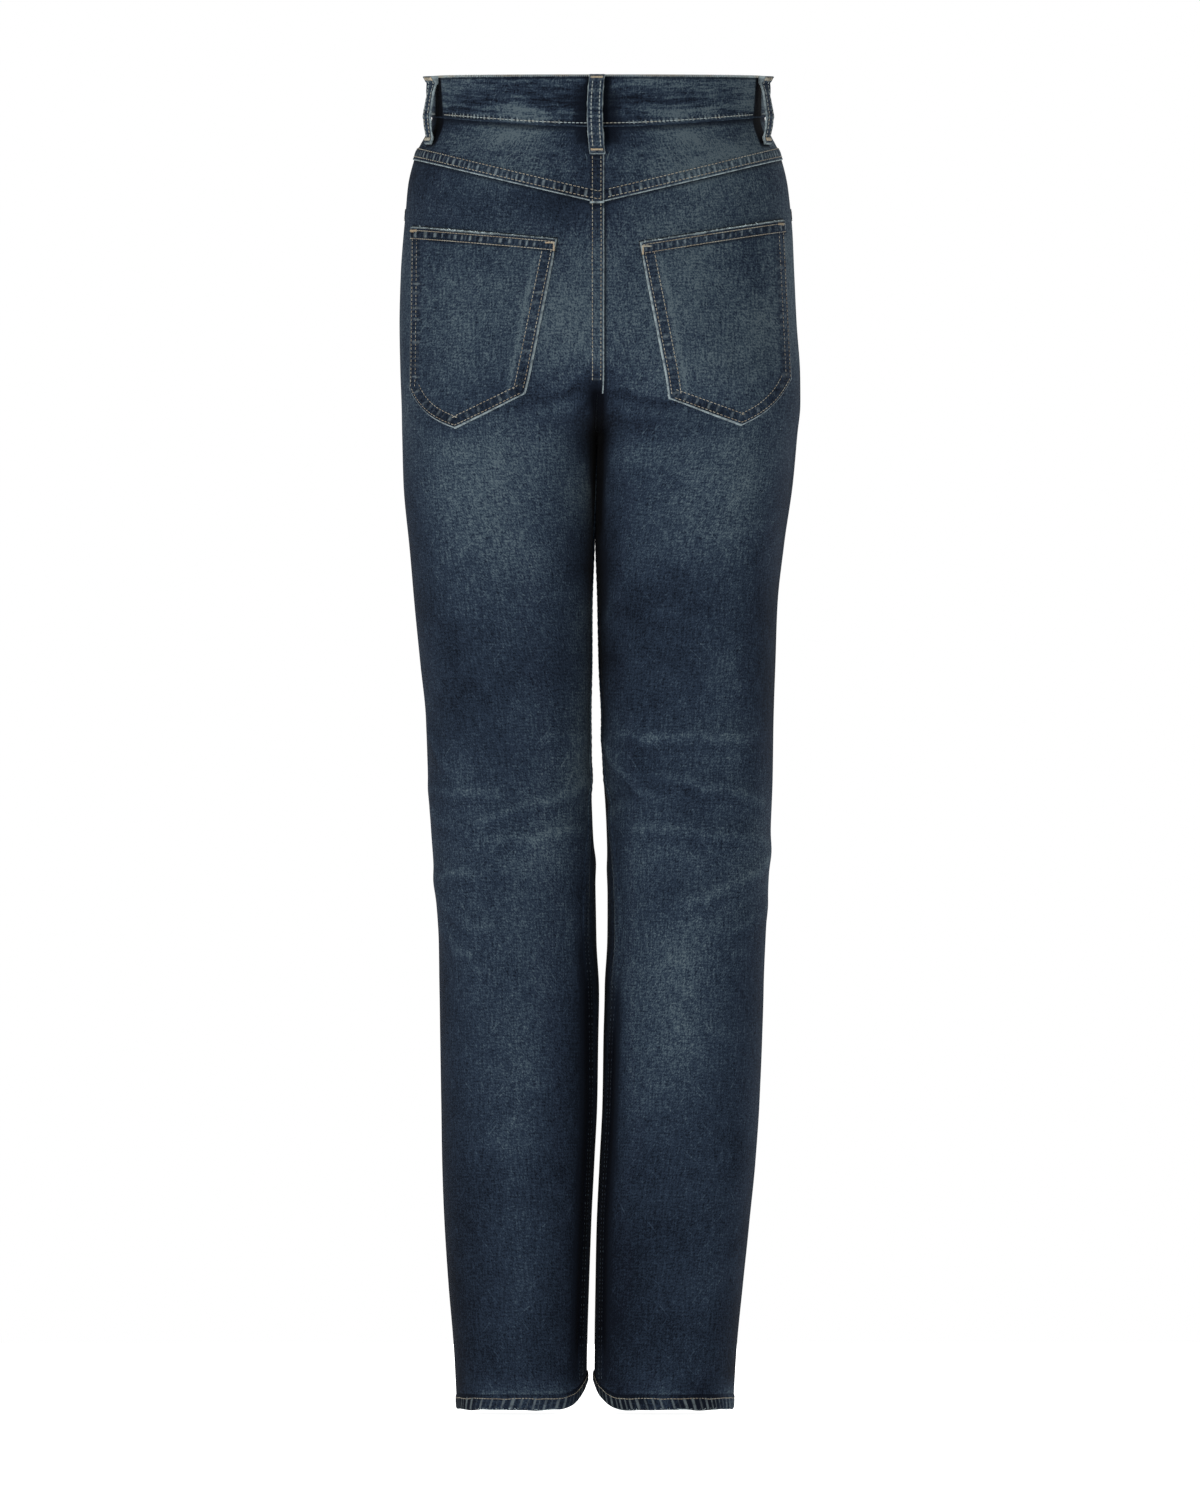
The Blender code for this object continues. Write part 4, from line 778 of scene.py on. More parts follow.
def flat_values(values, shape, repeat=1):
    """Per-point values as flat lists, repeated for each layer."""
    flat = {}
    for key, value in values.items():
        if key == "weave":
            parts = [np.broadcast_to(part, shape).ravel() for part in value]
            flat[key] = np.tile(np.stack(parts, -1), (repeat, 1))
        else:
            flat[key] = np.tile(np.broadcast_to(value, shape).ravel(), repeat)
    return flat


def wall(name, outer, inner, values, materials):
    """A closed wall between two grids of points, its inner face in the second material."""
    rows, columns = outer.shape[:2]
    count = rows * columns
    quads = grid_quads(rows, columns)
    rim = [j for j in range(columns)] + [i * columns + columns - 1 for i in range(1, rows)]
    rim += [(rows - 1) * columns + j for j in range(columns - 2, -1, -1)]
    rim += [i * columns for i in range(rows - 2, 0, -1)]
    here, ahead = np.array(rim), np.array(rim[1:] + rim[:1])
    edge = np.stack([ahead, here, here + count, ahead + count], -1)
    faces = np.concatenate([quads, quads[:, ::-1] + count, edge])
    points = np.concatenate([outer.reshape(-1, 3), inner.reshape(-1, 3)])
    inside = (len(quads), 2 * len(quads)) if len(materials) > 1 else None
    return make_piece(name, points, faces, [], flat_values(values, (rows, columns), 2), materials, inside)


def loft(name, points, values, materials, ring=False, sharp=42.0):
    """A closed tube through profiles of points: one row for each place along it."""
    rows, columns = points.shape[:2]
    faces = grid_quads(rows, columns, wrap_rows=ring, wrap_columns=True)
    caps = []
    if not ring:
        last = (rows - 1) * columns
        caps = [list(range(columns))[::-1], list(range(last, last + columns))]
    flat = flat_values(values, (rows, columns))
    return make_piece(name, points.reshape(-1, 3), faces, caps, flat, materials, sharp=sharp)


# ---- materials
class NodeSheet:
    """Adds shader nodes to one material."""

    def __init__(self, name):
        self.material = bpy.data.materials.new(name)
        self.material.use_nodes = True
        self.tree = self.material.node_tree
        self.shader = self.tree.nodes["Principled BSDF"]

    def plug(self, value, socket):
        if isinstance(value, bpy.types.NodeSocket):
            self.tree.links.new(value, socket)
        else:
            socket.default_value = value

    def node(self, kind, inputs=(), output=0, **settings):
        """Adds a node, fills its inputs and gives one output."""
        node = self.tree.nodes.new(kind)
        for key, value in settings.items():
            setattr(node, key, value)
        for key, value in dict(inputs).items():
            self.plug(value, node.inputs[key])
        return node.outputs[output]

    def place(self):
        return self.node("ShaderNodeTexCoord", output="Object")

    def math(self, operation, a, b=0.0, c=0.0):
        return self.node("ShaderNodeMath", {0: a, 1: b, 2: c}, operation=operation)

    def total(self, value, *others):
        for other in others:
            value = self.math("ADD", value, other)
        return value

    def about(self, value, gain, centre=0.5):
        """The value's distance from its centre, times a gain."""
        return self.math("MULTIPLY_ADD", value, gain, -gain * centre)

    def attribute(self, name, output="Fac"):
        return self.node("ShaderNodeAttribute", output=output, attribute_name=name)

    def mapping(self, vector, across, along, turn=0.0):
        """The vector scaled; a turned one is divided by its scale instead."""
        inputs = {"Vector": vector, "Scale": (across, along, 1.0), "Rotation": (0.0, 0.0, turn)}
        return self.node("ShaderNodeMapping", inputs, vector_type="TEXTURE" if turn else "POINT")

    def ramp(self, value, stops):
        colour = self.node("ShaderNodeValToRGB", {"Fac": value}, "Color")
        elements = colour.node.color_ramp.elements
        elements[0].position, elements[1].position = stops[0][0], stops[-1][0]
        elements[0].color, elements[1].color = stops[0][1], stops[-1][1]
        for place, between in stops[1:-1]:
            elements.new(place).color = between
        return colour

    def noise(self, vector, scale, detail=2.0, roughness=0.5):
        inputs = {"Vector": vector, "Scale": scale, "Detail": detail, "Roughness": roughness}
        return self.node("ShaderNodeTexNoise", inputs, "Fac")

    def flecks(self, vector, across, along, detail, roughness, turn=0.0):
        """Noise drawn out along or across the cloth."""
        return self.noise(self.mapping(vector, across, along, turn), 1.0, detail, roughness)

    def span(self, value, low, high, to_low=0.0, to_high=1.0):
        """The value carried smoothly from one range to another, and held at its ends."""
        inputs = {"Value": value, "From Min": low, "From Max": high, "To Min": to_low, "To Max": to_high}
        return self.node("ShaderNodeMapRange", inputs, "Result", interpolation_type="SMOOTHSTEP")

    def mix(self, factor, a, b):
        return self.node("ShaderNodeMix", {"Factor": factor, 6: a, 7: b}, 2, data_type="RGBA")

    def bump(self, height, strength, distance, over=None):
        inputs = {"Height": height, "Strength": strength, "Distance": distance}
        if over is not None:
            inputs["Normal"] = over
        return self.node("ShaderNodeBump", inputs)

    def finish(self, colour, normal, roughness, sheen=0.0, specular=0.35):
        values = {"Base Color": colour, "Normal": normal, "Roughness": roughness, "Sheen Weight": sheen,
                  "Sheen Roughness": 0.45, "Specular IOR Level": specular}
        for key, value in values.items():
            if value is not None:
                self.plug(value, self.shader.inputs[key])
        return self.material


def built_once(build):
    """A finish is built the first time that its name is asked for."""
    def find(name, *options):
        return bpy.data.materials.get(name) or build(NodeSheet(name), *options)

    return find


def from_srgb(colour):
    linear = [c / 12.92 if c <= 0.04045 else ((c + 0.055) / 1.055) ** 2.4 for c in colour[:3]]
    return (*linear, 1.0)


@built_once
def denim(sheet, shift=0.0, roping=1.0, streaks=0.0, scratches=0.26):
    """Indigo twill: deep dye under a pale fade, slub streaks, roped seams and rubbed edges, with painted
    light and shade mixed in: crease highlights and shadows, and painted shade under edges, beside seams,
    behind loops and between the legs.
    """
    colours = bpy.context.scene.jeans_colours
    weave = sheet.attribute("weave", "Vector")
    deep, bright = from_srgb(colours.dye_deep), from_srgb(colours.weft)

    mottle = sheet.noise(sheet.place(), 24.0, 5.0, 0.62)
    warp = sheet.flecks(weave, 560.0, 68.0, 2.0, 0.6)
    weft = sheet.flecks(weave, 150.0, 620.0, 1.0, 0.6)
    grain = sheet.flecks(weave, 760.0, 760.0, 1.5, 0.7)
    speck = sheet.flecks(weave, 0.0026, 0.0011, 1.0, 0.5, 1.05)
    wander = sheet.node("ShaderNodeTexNoise", output="Color")
    bent = {0: wander, 1: (0.008, 0.008, 0.0), 2: weave}
    bent = sheet.node("ShaderNodeVectorMath", bent, operation="MULTIPLY_ADD")
    marks = sheet.flecks(bent, 0.030, 0.0016, 1.0, 0.5, 0.95)
    crossing = sheet.flecks(bent, 0.030, 0.0016, 1.0, 0.5, -0.80)
    marks = sheet.math("MAXIMUM", marks, crossing)
    ribs = {"Scale": 1.0, "Distortion": 2.4, "Detail Scale": 1.6}
    ribs["Vector"] = sheet.mapping(weave, 260.0, 205.0)
    twill = sheet.node("ShaderNodeTexWave", ribs, "Fac", wave_type="BANDS", bands_direction="DIAGONAL")
    scuffs = sheet.flecks(weave, 230.0, 230.0, 2.0, 0.6)

    # Paleness from the attribute: the fade of the washed cloth with painted light and shade in it.
    base_wash_and_shade = sheet.math("ADD", sheet.attribute("wash"), shift)
    threads = sheet.total(
        sheet.about(grain, 1.45), sheet.about(warp, 0.90), sheet.about(weft, 0.75), sheet.about(speck, 0.90))
    threads = sheet.math("MULTIPLY", threads, sheet.span(base_wash_and_shade, 0.0, 0.8, 0.62, 1.05))
    scratched = sheet.span(marks, 0.66, 0.78, 0.0, scratches)
    wash = sheet.total(base_wash_and_shade, threads, sheet.about(mottle, 0.55), scratched)
    if streaks:
        wash = sheet.total(wash, sheet.about(sheet.flecks(weave, 38.0, 300.0, 3.0, 0.65), streaks, 0.48))
    # Painted crease light and shade: the crest pattern makes the fold crests paler, by fade and painted
    # highlight, and the cloth beside them darker, by painted shadow, broken up by the mottle.
    broken = sheet.span(mottle, 0.34, 0.60, 50.0, 85.0)
    wash = sheet.math("MULTIPLY_ADD", sheet.attribute("ridge"), broken, wash)
    base = sheet.ramp(wash, (
        (0.0, deep), (0.5, from_srgb(colours.dye_dark)), (0.85, from_srgb(colours.dye_faded)),
        (1.0, from_srgb(colours.dye_pale)),
    ))

    edge = sheet.span(sheet.attribute("edge"), 0.0015, 0.0005)
    rubbed = sheet.math("MULTIPLY", edge, sheet.span(scuffs, 0.28, 0.62, 0.25, 0.85))
    rope = sheet.attribute("rope")
    crests = sheet.span(rope, 0.02, 0.75, 0.0, 0.46 * roping)
    light = sheet.math("MULTIPLY", crests, sheet.span(scuffs, 0.25, 0.60, 0.25, 1.0))
    base = sheet.mix(sheet.span(rope, -0.02, -0.80, 0.0, 0.50 * roping), base, deep)
    base = sheet.mix(sheet.math("MAXIMUM", rubbed, light), base, bright)
    # Painted shade: the under value darkens the cloth towards the deep dye, then to a near black, under
    # edges, beside seams, round pockets, behind belt loops and between the legs.
    under = sheet.attribute("under")
    base = sheet.mix(sheet.span(under, 0.0036, 0.0002, 0.0, 0.85), base, deep)
    base = sheet.mix(sheet.span(under, 0.0, -0.0030, 0.0, 0.92), base, (0.0015, 0.0020, 0.0035, 1.0))
    rough = sheet.bump(twill, 0.30, 0.00022, sheet.bump(grain, 0.50, 0.00035))
    return sheet.finish(base, sheet.bump(warp, 0.30, 0.00040, rough), 0.96, 0.01, 0.02)


@built_once
def denim_back(sheet):
    """The weft side of the twill: paler and greyer."""
    colours = bpy.context.scene.jeans_colours
    grain = sheet.flecks(sheet.attribute("weave", "Vector"), 800.0, 900.0, 2.0, 0.65)
    cloud = sheet.noise(sheet.place(), 110.0, 4.0)
    faded, weft = from_srgb(colours.dye_faded), from_srgb(colours.weft)
    tone = sheet.mix(sheet.span(cloud, 0.3, 0.7, 0.45, 0.70), faded, weft)
    tone = sheet.mix(sheet.span(grain, 0.35, 0.65, 0.0, 0.6), tone, from_srgb(colours.dye_dark))
    return sheet.finish(tone, sheet.bump(grain, 0.6, 0.0004), 0.96, 0.01, 0.02)


@built_once
def plain_weave(sheet, colour, lighter, scale):
    """Tape or thread: one colour, varied along its length."""
    place = sheet.place()
    cloud, fine = sheet.noise(place, scale, 2.0), sheet.noise(place, 2400.0, 1.0)
    tone = sheet.mix(sheet.span(cloud, 0.3, 0.7), from_srgb(colour), from_srgb(lighter))
    return sheet.finish(tone, sheet.bump(fine, 0.5, 0.0002), 0.85, 0.05, 0.12)


@built_once
def brass(sheet):
    """Antiqued brass, with dark stains."""
    stain = sheet.noise(sheet.place(), 700.0, 4.0, 0.6)
    colour = from_srgb(bpy.context.scene.jeans_colours.metal)
    tarnish = tuple(c * 0.35 for c in colour[:3]) + (1.0,)
    sheet.plug(sheet.mix(sheet.span(stain, 0.35, 0.65), colour, tarnish), sheet.shader.inputs["Base Color"])
    sheet.plug(sheet.span(stain, 0.3, 0.7, 0.28, 0.55), sheet.shader.inputs["Roughness"])
    sheet.plug(sheet.bump(stain, 0.2, 0.0002), sheet.shader.inputs["Normal"])
    sheet.plug(1.0, sheet.shader.inputs["Metallic"])
    return sheet.material


# ---- leg panels
def panel_levels(side, face):
    """Rows of a panel: (share of the way down from its top edge or -1, level or -1, first share)."""
    if face == BACK:
        top, settled = YOKE_FOOT_SIDE, BACK_LEVEL
        steps = round((settled - top) / PANEL_ROW)
        rows = [(k / steps, -1.0, 0.0) for k in range(steps + 1)]
    else:
        top, settled = BAND_FOOT_SIDE, FRONT_LEVEL
        depth = settled - top
        rows = []
        for part in np.arange(MOUTH_ROWS) / MOUTH_ROWS:
            away, below = scoop(part)
            rows.append((below / depth, -1.0, away / float(reach_at(side, FRONT, top + below))))
        lower = round((depth - SCOOP_DEPTH) / PANEL_ROW)
        rows += [(1 - (1 - SCOOP_DEPTH / depth) * (1 - k / lower), -1.0, 0.0) for k in range(lower + 1)]
    end = OUTSEAM - HEM_HEIGHT + 0.0012
    count = round((end - settled) / PANEL_ROW)
    rows += [(-1.0, settled + (end - settled) * k / count, 0.0) for k in range(1, count + 1)]
    return np.array(rows), top, settled


def leg_panel(name, side, face):
    """A back or front panel from its top edge into the hem."""
    rows, top, settled = panel_levels(side, face)
    part_down, level, first = rows.T[:, :, None]
    guess = np.where(level > 0, level, top + (settled - top) * part_down)
    reach = reach_at(side, face, guess)
    near_side = first + SIDE_STEPS[None, :] / reach
    near_inner = 1 - INNER_STEPS[None, :] / reach
    start, stop = near_side[:, -1:], near_inner[:, :1]
    place = np.arange(1, PANEL_COLUMNS)[None, :] / PANEL_COLUMNS
    near = between(guess, EVEN_ABOVE, EVEN_BELOW, 0.04, 0.12)
    even = 1 - near * (1 - share_across(side, face, guess, STEADY_LINE))
    middle = start + (stop - start) * (even * place + (1 - even) * place**6)
    share = np.concatenate([near_side, middle, near_inner], axis=1)

    edge_drop = GAP + (yoke_foot(side, share) if face == BACK else band_foot(face, share))
    level_drop = hem_drop(side, face, np.maximum(level, 0.0), share)
    drop = np.where(level > 0, level_drop, edge_drop + (settled - edge_drop) * part_down)

    reach = reach_at(side, face, drop)
    from_side, from_inner = share * reach, (1 - share) * reach
    ridge_up = smooth(from_side / 0.0016) * (1 - smooth((from_side - 0.0080) / 0.0030))
    lift = SEAM_RIDGE * ridge_up * smooth((drop - 0.10) / 0.03)
    hem_top = OUTSEAM - HEM_HEIGHT
    puffed = 0.65 + 0.35 * pucker(from_side, HEM_PITCH, side)
    puffed = 0.20 * bell(guess, hem_top - 0.0024, 0.0026) * puffed
    values = {"weave": (from_side, drop), "wash": wash_and_shade_at(side, face, drop, share) + puffed}
    # The fold crests' fade with their painted highlight and shadow.
    values["ridge"] = crease_fade_and_shading_at(side, face, drop, share)
    # Painted shadow just below the yoke or waistband above, and darker along the side seam.
    under = np.minimum(drop - edge_drop, from_side * 0.9 + 0.0004)
    edge = np.full(drop.shape, FAR)
    rope = 0.35 * pucker(drop, phase=side) * between(from_side, 0.0, 0.011, 0.002, 0.003)
    lift = lift + 0.0009 * bell(guess, hem_top - 0.0055, 0.0050) * smooth(1 - from_inner / 0.03)
    if face == FRONT:
        flying = (side == LEFT) & (drop < FLY_END)
        strip = seam_strip(side, face, drop)
        flap = smooth((strip + FELL_EDGE - from_inner) / FELL_EDGE)
        lift = lift + np.where(flying, 0.0008 * flap, 0.0)
        edge = np.where(flying, from_inner, edge)
        sewn = smooth((from_inner - strip + 0.0125) / 0.003) * flap
        rope = rope + np.where(flying, 0.30 * pucker(drop, phase=2.0) * sewn, 0.0)
        # Painted shadow where the right front runs in under the fly.
        if side == RIGHT:
            under = np.minimum(under, np.where(drop < FLY_END, from_inner, FAR))
        mouth = mouth_distance(side, from_side, drop - band_foot(FRONT, share))
        lift = lift + 0.0007 * smooth((0.0105 - mouth) / 0.002)
        edge = np.minimum(edge, mouth)
        rope = rope + 0.6 * pucker(from_side + drop) * between(mouth, 0.0, 0.0100, 0.002)
        # Painted shade at the front's inner end below the fork, between the legs.
        under = np.minimum(under, np.where(drop > FORK + 0.01, from_inner, FAR))
    else:
        # Painted shadow beside the seat fell's folded edge on the right, then painted shade between the
        # thighs and at the lower legs' inner edges.
        if side == RIGHT:
            past_fell = np.where(drop < FORK, from_inner, FAR) + SEAT_STRIP_RIGHT
            under = np.minimum(under, np.where(past_fell > 0, past_fell, FAR))
        near = on_cloth(side, face, drop, share)[..., 0] * side
        under = np.minimum(under, cleft_shade(side, drop, near))
        under = np.minimum(under, inner_shade(side, drop, near - near.min(axis=1, keepdims=True)))
    values.update(edge=edge, under=under, rope=rope)
    drop[0] -= TUCK
    angle = angle_at(side, face, drop, share)
    angle[:, 0] = np.where(first[:, 0] > 0, angle[:, 0], 0.0)
    outer = at_angle(side, face, drop, angle, lift)
    inner = at_angle(side, face, drop, angle, -CLOTH)
    item = wall(name, outer, inner, values, [denim("denim_leg"), denim_back("denim_inside")])
    return stand_in(item, "denim", *[f"{name}_{part}" for part in PANEL_PARTS])


def mouth_distance(side, from_side, below):
    """Distance inwards from a front pocket's mouth."""
    away, down = scoop(np.linspace(0, 1, 90))
    near = np.full(from_side.shape, FAR)
    close = (from_side < SCOOP_WIDTH + 0.02) & (below < SCOOP_DEPTH + 0.02)
    gap = np.hypot(from_side[close][:, None] - away, below[close][:, None] - down)
    near[close] = gap.min(axis=1)
    return near


# ---- yoke, waistband, hems
def yoke_piece(name, side):
    """The back yoke, its foot felled over the panel in a raised, roped band."""
    share = np.concatenate([[0.0, 0.004, 0.012], np.linspace(0.02, 0.985, 190), [0.993, 1.0]])[None, :]
    top, foot = band_foot(BACK, share) + GAP, yoke_foot(side, share)
    above = np.array([0.0128, 0.0114, 0.0104, 0.0095, 0.0086, 0.0072, 0.0058, 0.0044, 0.0032, 0.0022, 0.0014,
                      0.0008, 0.0004, 0.0001, 0.0])[:, None]
    plain = np.linspace(0, 1, 16)[:-1, None]
    drop = np.concatenate([top + (foot - above[0] - top) * plain, foot - above])
    up = foot - drop
    reach = reach_at(side, BACK, drop)
    run = share * reach
    ripple = pucker(run, phase=side)
    felled = smooth((FELL_WIDTH + 0.0012 - up) / 0.0018)
    rounded = rounded_edge(up, 0.0008)
    valley = bell(up, 0.0028, 0.0009) + bell(up, 0.0090, 0.0009)
    lift = felled * rounded * (FELL_LIFT + PUCKER * ripple - 0.00025 * valley)
    values = {
        "weave": (run, drop),
        "wash": wash_and_shade_at(side, BACK, drop, np.broadcast_to(share, drop.shape)) - 0.20 * felled,
        "edge": up + 0.0003,
        # Painted shadow just under the waistband, and behind and beside the belt loops.
        "under": np.minimum(0.65 * (drop - top), loop_shadow(side, drop, run)),
        "rope": ripple * between(up, 0.0022, 0.0090, 0.001),
        # The fold crests' fade with their painted highlight and shadow.
        "ridge": crease_fade_and_shading_at(side, BACK, drop, share),
    }
    drop[0] -= TUCK
    angle = angle_at(side, BACK, drop, share)
    angle[:, 0] = 0.0
    outer = at_angle(side, BACK, drop, angle, lift)
    inner = at_angle(side, BACK, drop, angle, -CLOTH)
    cloth = denim("denim_yoke", 0.06, 0.8, 0.7, 0.62)
    item = wall(name, outer, inner, values, [cloth, denim_back("denim_inside")])
    return stand_in(item, "denim_faded", name)


def band_path():
    """Stations round the waistband: side, face, share and how far the strip is tucked under."""
    steps = np.linspace(0, 1, 116)
    rows = [(LEFT, FRONT, 1 - t, 0.0) for t in steps] + [(LEFT, BACK, t, 0.0) for t in steps[1:]]
    rows += [(RIGHT, BACK, 1 - t, 0.0) for t in steps[1:]]
    under = BAND_THICK + PLY_GAP
    rows += [(RIGHT, FRONT, t, under * float(smooth((t - BAND_TUCK_FROM) / (BAND_TUCK_TO - BAND_TUCK_FROM))))
             for t in steps[1:] if t < BAND_TUCK_TO]
    reach = float(reach_at(LEFT, FRONT, BAND_TOP_FRONT))
    rows += [(RIGHT, FRONT, BAND_TUCK_TO, under)]
    return rows + [(LEFT, FRONT, 1 - away / reach, under) for away in np.linspace(0, BAND_LAP, 16)]


def waistband_piece(name):
    """One folded strip, rounded along its top and foot, roped where it is sewn down."""
    path = band_path()
    radius = BAND_THICK / 2 - 0.0001
    turn = np.linspace(0, math.pi, 7)[1:-1]
    face_steps = np.array([0.0, 0.03, 0.06, 0.09, 0.13, *np.linspace(0.18, 0.86, 15), 0.92, 0.96, 1.0])
    points, values = [], {key: [] for key in ("wash", "edge", "rope", "under")}
    runs = lengths_along([
        on_cloth(side, face, (band_top(face, share) + band_foot(face, share)) / 2, share)
        for side, face, share, _ in path
    ])
    for (side, face, share, sunk), run in zip(path, runs):
        top, foot = float(band_top(face, share)), float(band_foot(face, share))
        ripple, slow = float(pucker(run, BAND_PITCH)), float(pucker(run, BAND_SLOW_PITCH, 1.0))
        outer = foot - radius + (top - foot + 2 * radius) * face_steps
        up = foot - outer
        puff = 0.00022 * ripple * between(up, 0.0006, 0.0052, 0.0012, 0.0014)
        puff = puff + 0.00016 * slow * smooth((up - 0.004) / 0.004) - 0.0002 * bell(up, 0.0046, 0.0009)
        down = outer - top
        puff = puff + 0.00020 * ripple * smooth((0.0034 - down) / 0.002)
        over, below = top + radius - radius * np.sin(turn), foot - radius + radius * np.sin(turn)
        drops = np.concatenate([outer, over, outer[::-4], below])
        outs = np.concatenate([BAND_PROUD + puff, BAND_PROUD - radius * (1 - np.cos(turn)),
                               np.full(len(outer[::-4]), BAND_PROUD - 2 * radius),
                               BAND_PROUD - radius * (1 + np.cos(turn))])
        points.append(on_cloth(side, face, drops, share, outs - sunk))
        up, down = foot - drops, drops - top
        worn = 0.6 + 0.4 * unsteady(run, 0.11, 1.3)
        beyond = 0.5 * float(smooth(1 - share * float(reach_at(side, face, foot)) / 0.030))
        wash = (1 - beyond) * wash_and_shade_at(side, face, drops, share) + beyond * wash_and_shade_at(side, -face, drops, share)
        wash = wash + 0.46 * worn * bell(up, 0.0108, 0.0026)
        wash = wash - 0.16 * smooth((0.0050 - up) / 0.001)
        inside = np.arange(len(drops)) >= len(outer) + 3
        values["wash"].append(np.where(inside, 0.34, wash))
        from_centre = (1 - share) * float(reach_at(side, face, foot)) if face == BACK else FAR
        calm = float(smooth(1.4 - from_centre / 0.024))
        edge = 0.0006 + np.minimum(0.9 * np.abs(up - 0.0002) + 0.0009 * calm, 0.9 * np.abs(down) + 0.0005)
        values["edge"].append(np.where(inside, np.maximum(edge, 0.006), edge))
        rope = 1.4 * ripple * between(up, 0.0014, 0.0052, 0.0006, 0.0010)
        values["rope"].append(np.where(inside, 0.0, rope + 0.8 * ripple * smooth((0.0030 - down) / 0.001)))
        # Painted shadow behind and beside the back belt loops, and a painted shaded line just under the beads
        # of the top edge.
        shadow_of_loops = loop_shadow(side, drops, share * reach_at(side, face, drops)) if face == BACK else FAR
        shade_under_beads = 0.0040 - 0.0036 * bell(down, 0.0027, 0.0007)
        values["under"].append(np.where(inside, FAR, np.minimum(shade_under_beads, shadow_of_loops)))
    values = {key: np.array(rows) for key, rows in values.items()}
    points = np.array(points)
    values["weave"] = (runs[:, None], lengths_along(points[200])[None, :])
    item = loft(name, points, values, [denim("denim_waist", 0.0, 1.25, 1.9, 0.40)])
    return stand_in(item, "denim_band", name)


def hem_piece(name, side):
    """The turned hem: a thick roped band round the leg's foot."""
    steps = np.linspace(0, 1, 132)
    path = [(BACK, t) for t in steps] + [(FRONT, 1 - t) for t in steps]
    top, foot = OUTSEAM - HEM_HEIGHT, OUTSEAM
    thick = CLOTH + 2 * HEM_LIFT
    radius = thick / 2
    turn = np.linspace(0, math.pi, 7)[1:-1]
    plain = np.linspace(top + 0.002, foot - radius, 7)
    levels = np.array([top - FELL_EDGE, top - 0.0006, top + 0.0006, *plain])
    rise = np.array([0.0001, 0.0006, 0.0010, 0.0009, *[HEM_LIFT] * 6])
    below = foot - radius + radius * np.sin(turn)
    level = np.concatenate([levels, below, [foot - radius, top, top - FELL_EDGE]])
    turned = HEM_LIFT - radius * (1 - np.cos(turn))
    points, values = [], {key: [] for key in ("wash", "edge", "rope")}
    runs = lengths_along([on_cloth(side, face, OUTSEAM - 0.005, share) for face, share in path])
    for (face, share), run in zip(path, runs):
        slow = float(unsteady(run, 0.046, side))
        uneven = 0.70 + 0.30 * float(unsteady(run, 0.071, 3.0 + side))
        ripple = pucker(run + 0.35 * (level - top), HEM_PITCH, side) * uneven
        puff = 0.00045 * ripple[:len(levels)] * smooth((levels - top) / 0.003) + 0.0003 * slow
        outs = np.concatenate([rise + puff, turned, [-CLOTH - HEM_LIFT] * 2, [-CLOTH]])
        sag = 0.0006 * unsteady(run, 0.058, 2.0 + side) * smooth((level - top) / 0.008)
        drops = hem_drop(side, face, level + sag, share)
        points.append(on_cloth(side, face, drops, share, outs))
        values["wash"].append(wash_and_shade_at(side, face, drops, share) - 0.24)
        bottom = np.abs(foot - level)
        values["edge"].append(bottom + 0.0008 + 0.0008 * slow)
        values["rope"].append(1.5 * ripple * smooth((level - top) / 0.002) * smooth(bottom / 0.0015))
    values = {key: np.array(rows) for key, rows in values.items()}
    values["weave"] = (runs[:, None], level[None, :])
    item = loft(name, np.array(points), values, [denim("denim_hem", 0.0, 0.55)], ring=True)
    return item


# ---- felled seams
def strip_piece(name, place, runs, low, high, seat, phase, fade_low=False, crossed=-FAR, shade=None):
    """A raised fell lying on the cloth, its folded edge at the high offset. place(run, offset, out) gives
    its points, or how pale it is painted where out is None; seat(run, offset) is how far out the cloth below
    it is, and shade(run, from_high) is how deep the painted shade on it is."""
    folds = np.array([0.0, 0.0002, 0.0006, 0.0012, 0.0020])
    middle = np.linspace(low + 0.0052, high - 0.0032, 5)
    offsets = np.concatenate([low + folds * 2, middle, high - folds[::-1]])
    runs = np.asarray(runs)[:, None]
    from_high, from_low = high - offsets, offsets - low
    ripple = pucker(runs, phase=phase)
    rounded = rounded_edge(from_high, 0.0007)
    other = smooth(from_low / 0.0034) if fade_low else rounded_edge(from_low, 0.0012)
    valley = bell(from_high, 0.0026, 0.0009) + bell(from_low, 0.0022, 0.0009)
    ends = smooth((runs - runs[0]) / 0.006) * smooth((runs[-1] - runs) / 0.012)
    raised = (STRIP_LIFT + 0.8 * PUCKER * ripple - 0.00022 * valley) * ends
    lift = rounded * other * np.maximum(raised, 0.0004)
    base = seat(runs, offsets[None, :])
    outer = place(runs, np.broadcast_to(offsets, lift.shape), base + lift)
    inner = place(runs, np.broadcast_to(offsets, lift.shape), base - 0.0003 + 0.0 * lift)
    values = {
        "weave": (offsets[None, :], runs),
        "wash": place(runs, offsets, None),
        "edge": np.minimum(np.broadcast_to(from_high, lift.shape) + 0.0002, np.abs(runs - crossed)),
        # Painted shadow on the fell just below where the yoke's edge crosses it.
        "under": np.where(runs > crossed, 0.6 * (runs - crossed), 0.0045),
        "rope": 0.35 * ripple * smooth(from_high / 0.003) * smooth((from_low - 0.001) / 0.002) * ends,
    }
    if shade is not None:
        values["under"] = np.minimum(values["under"], shade(runs, from_high[None, :]))
    return wall(name, outer, inner, values, [denim("denim_seam", 0.0, 0.45)])


def no_rise(run, offset):
    return 0.0 * offset


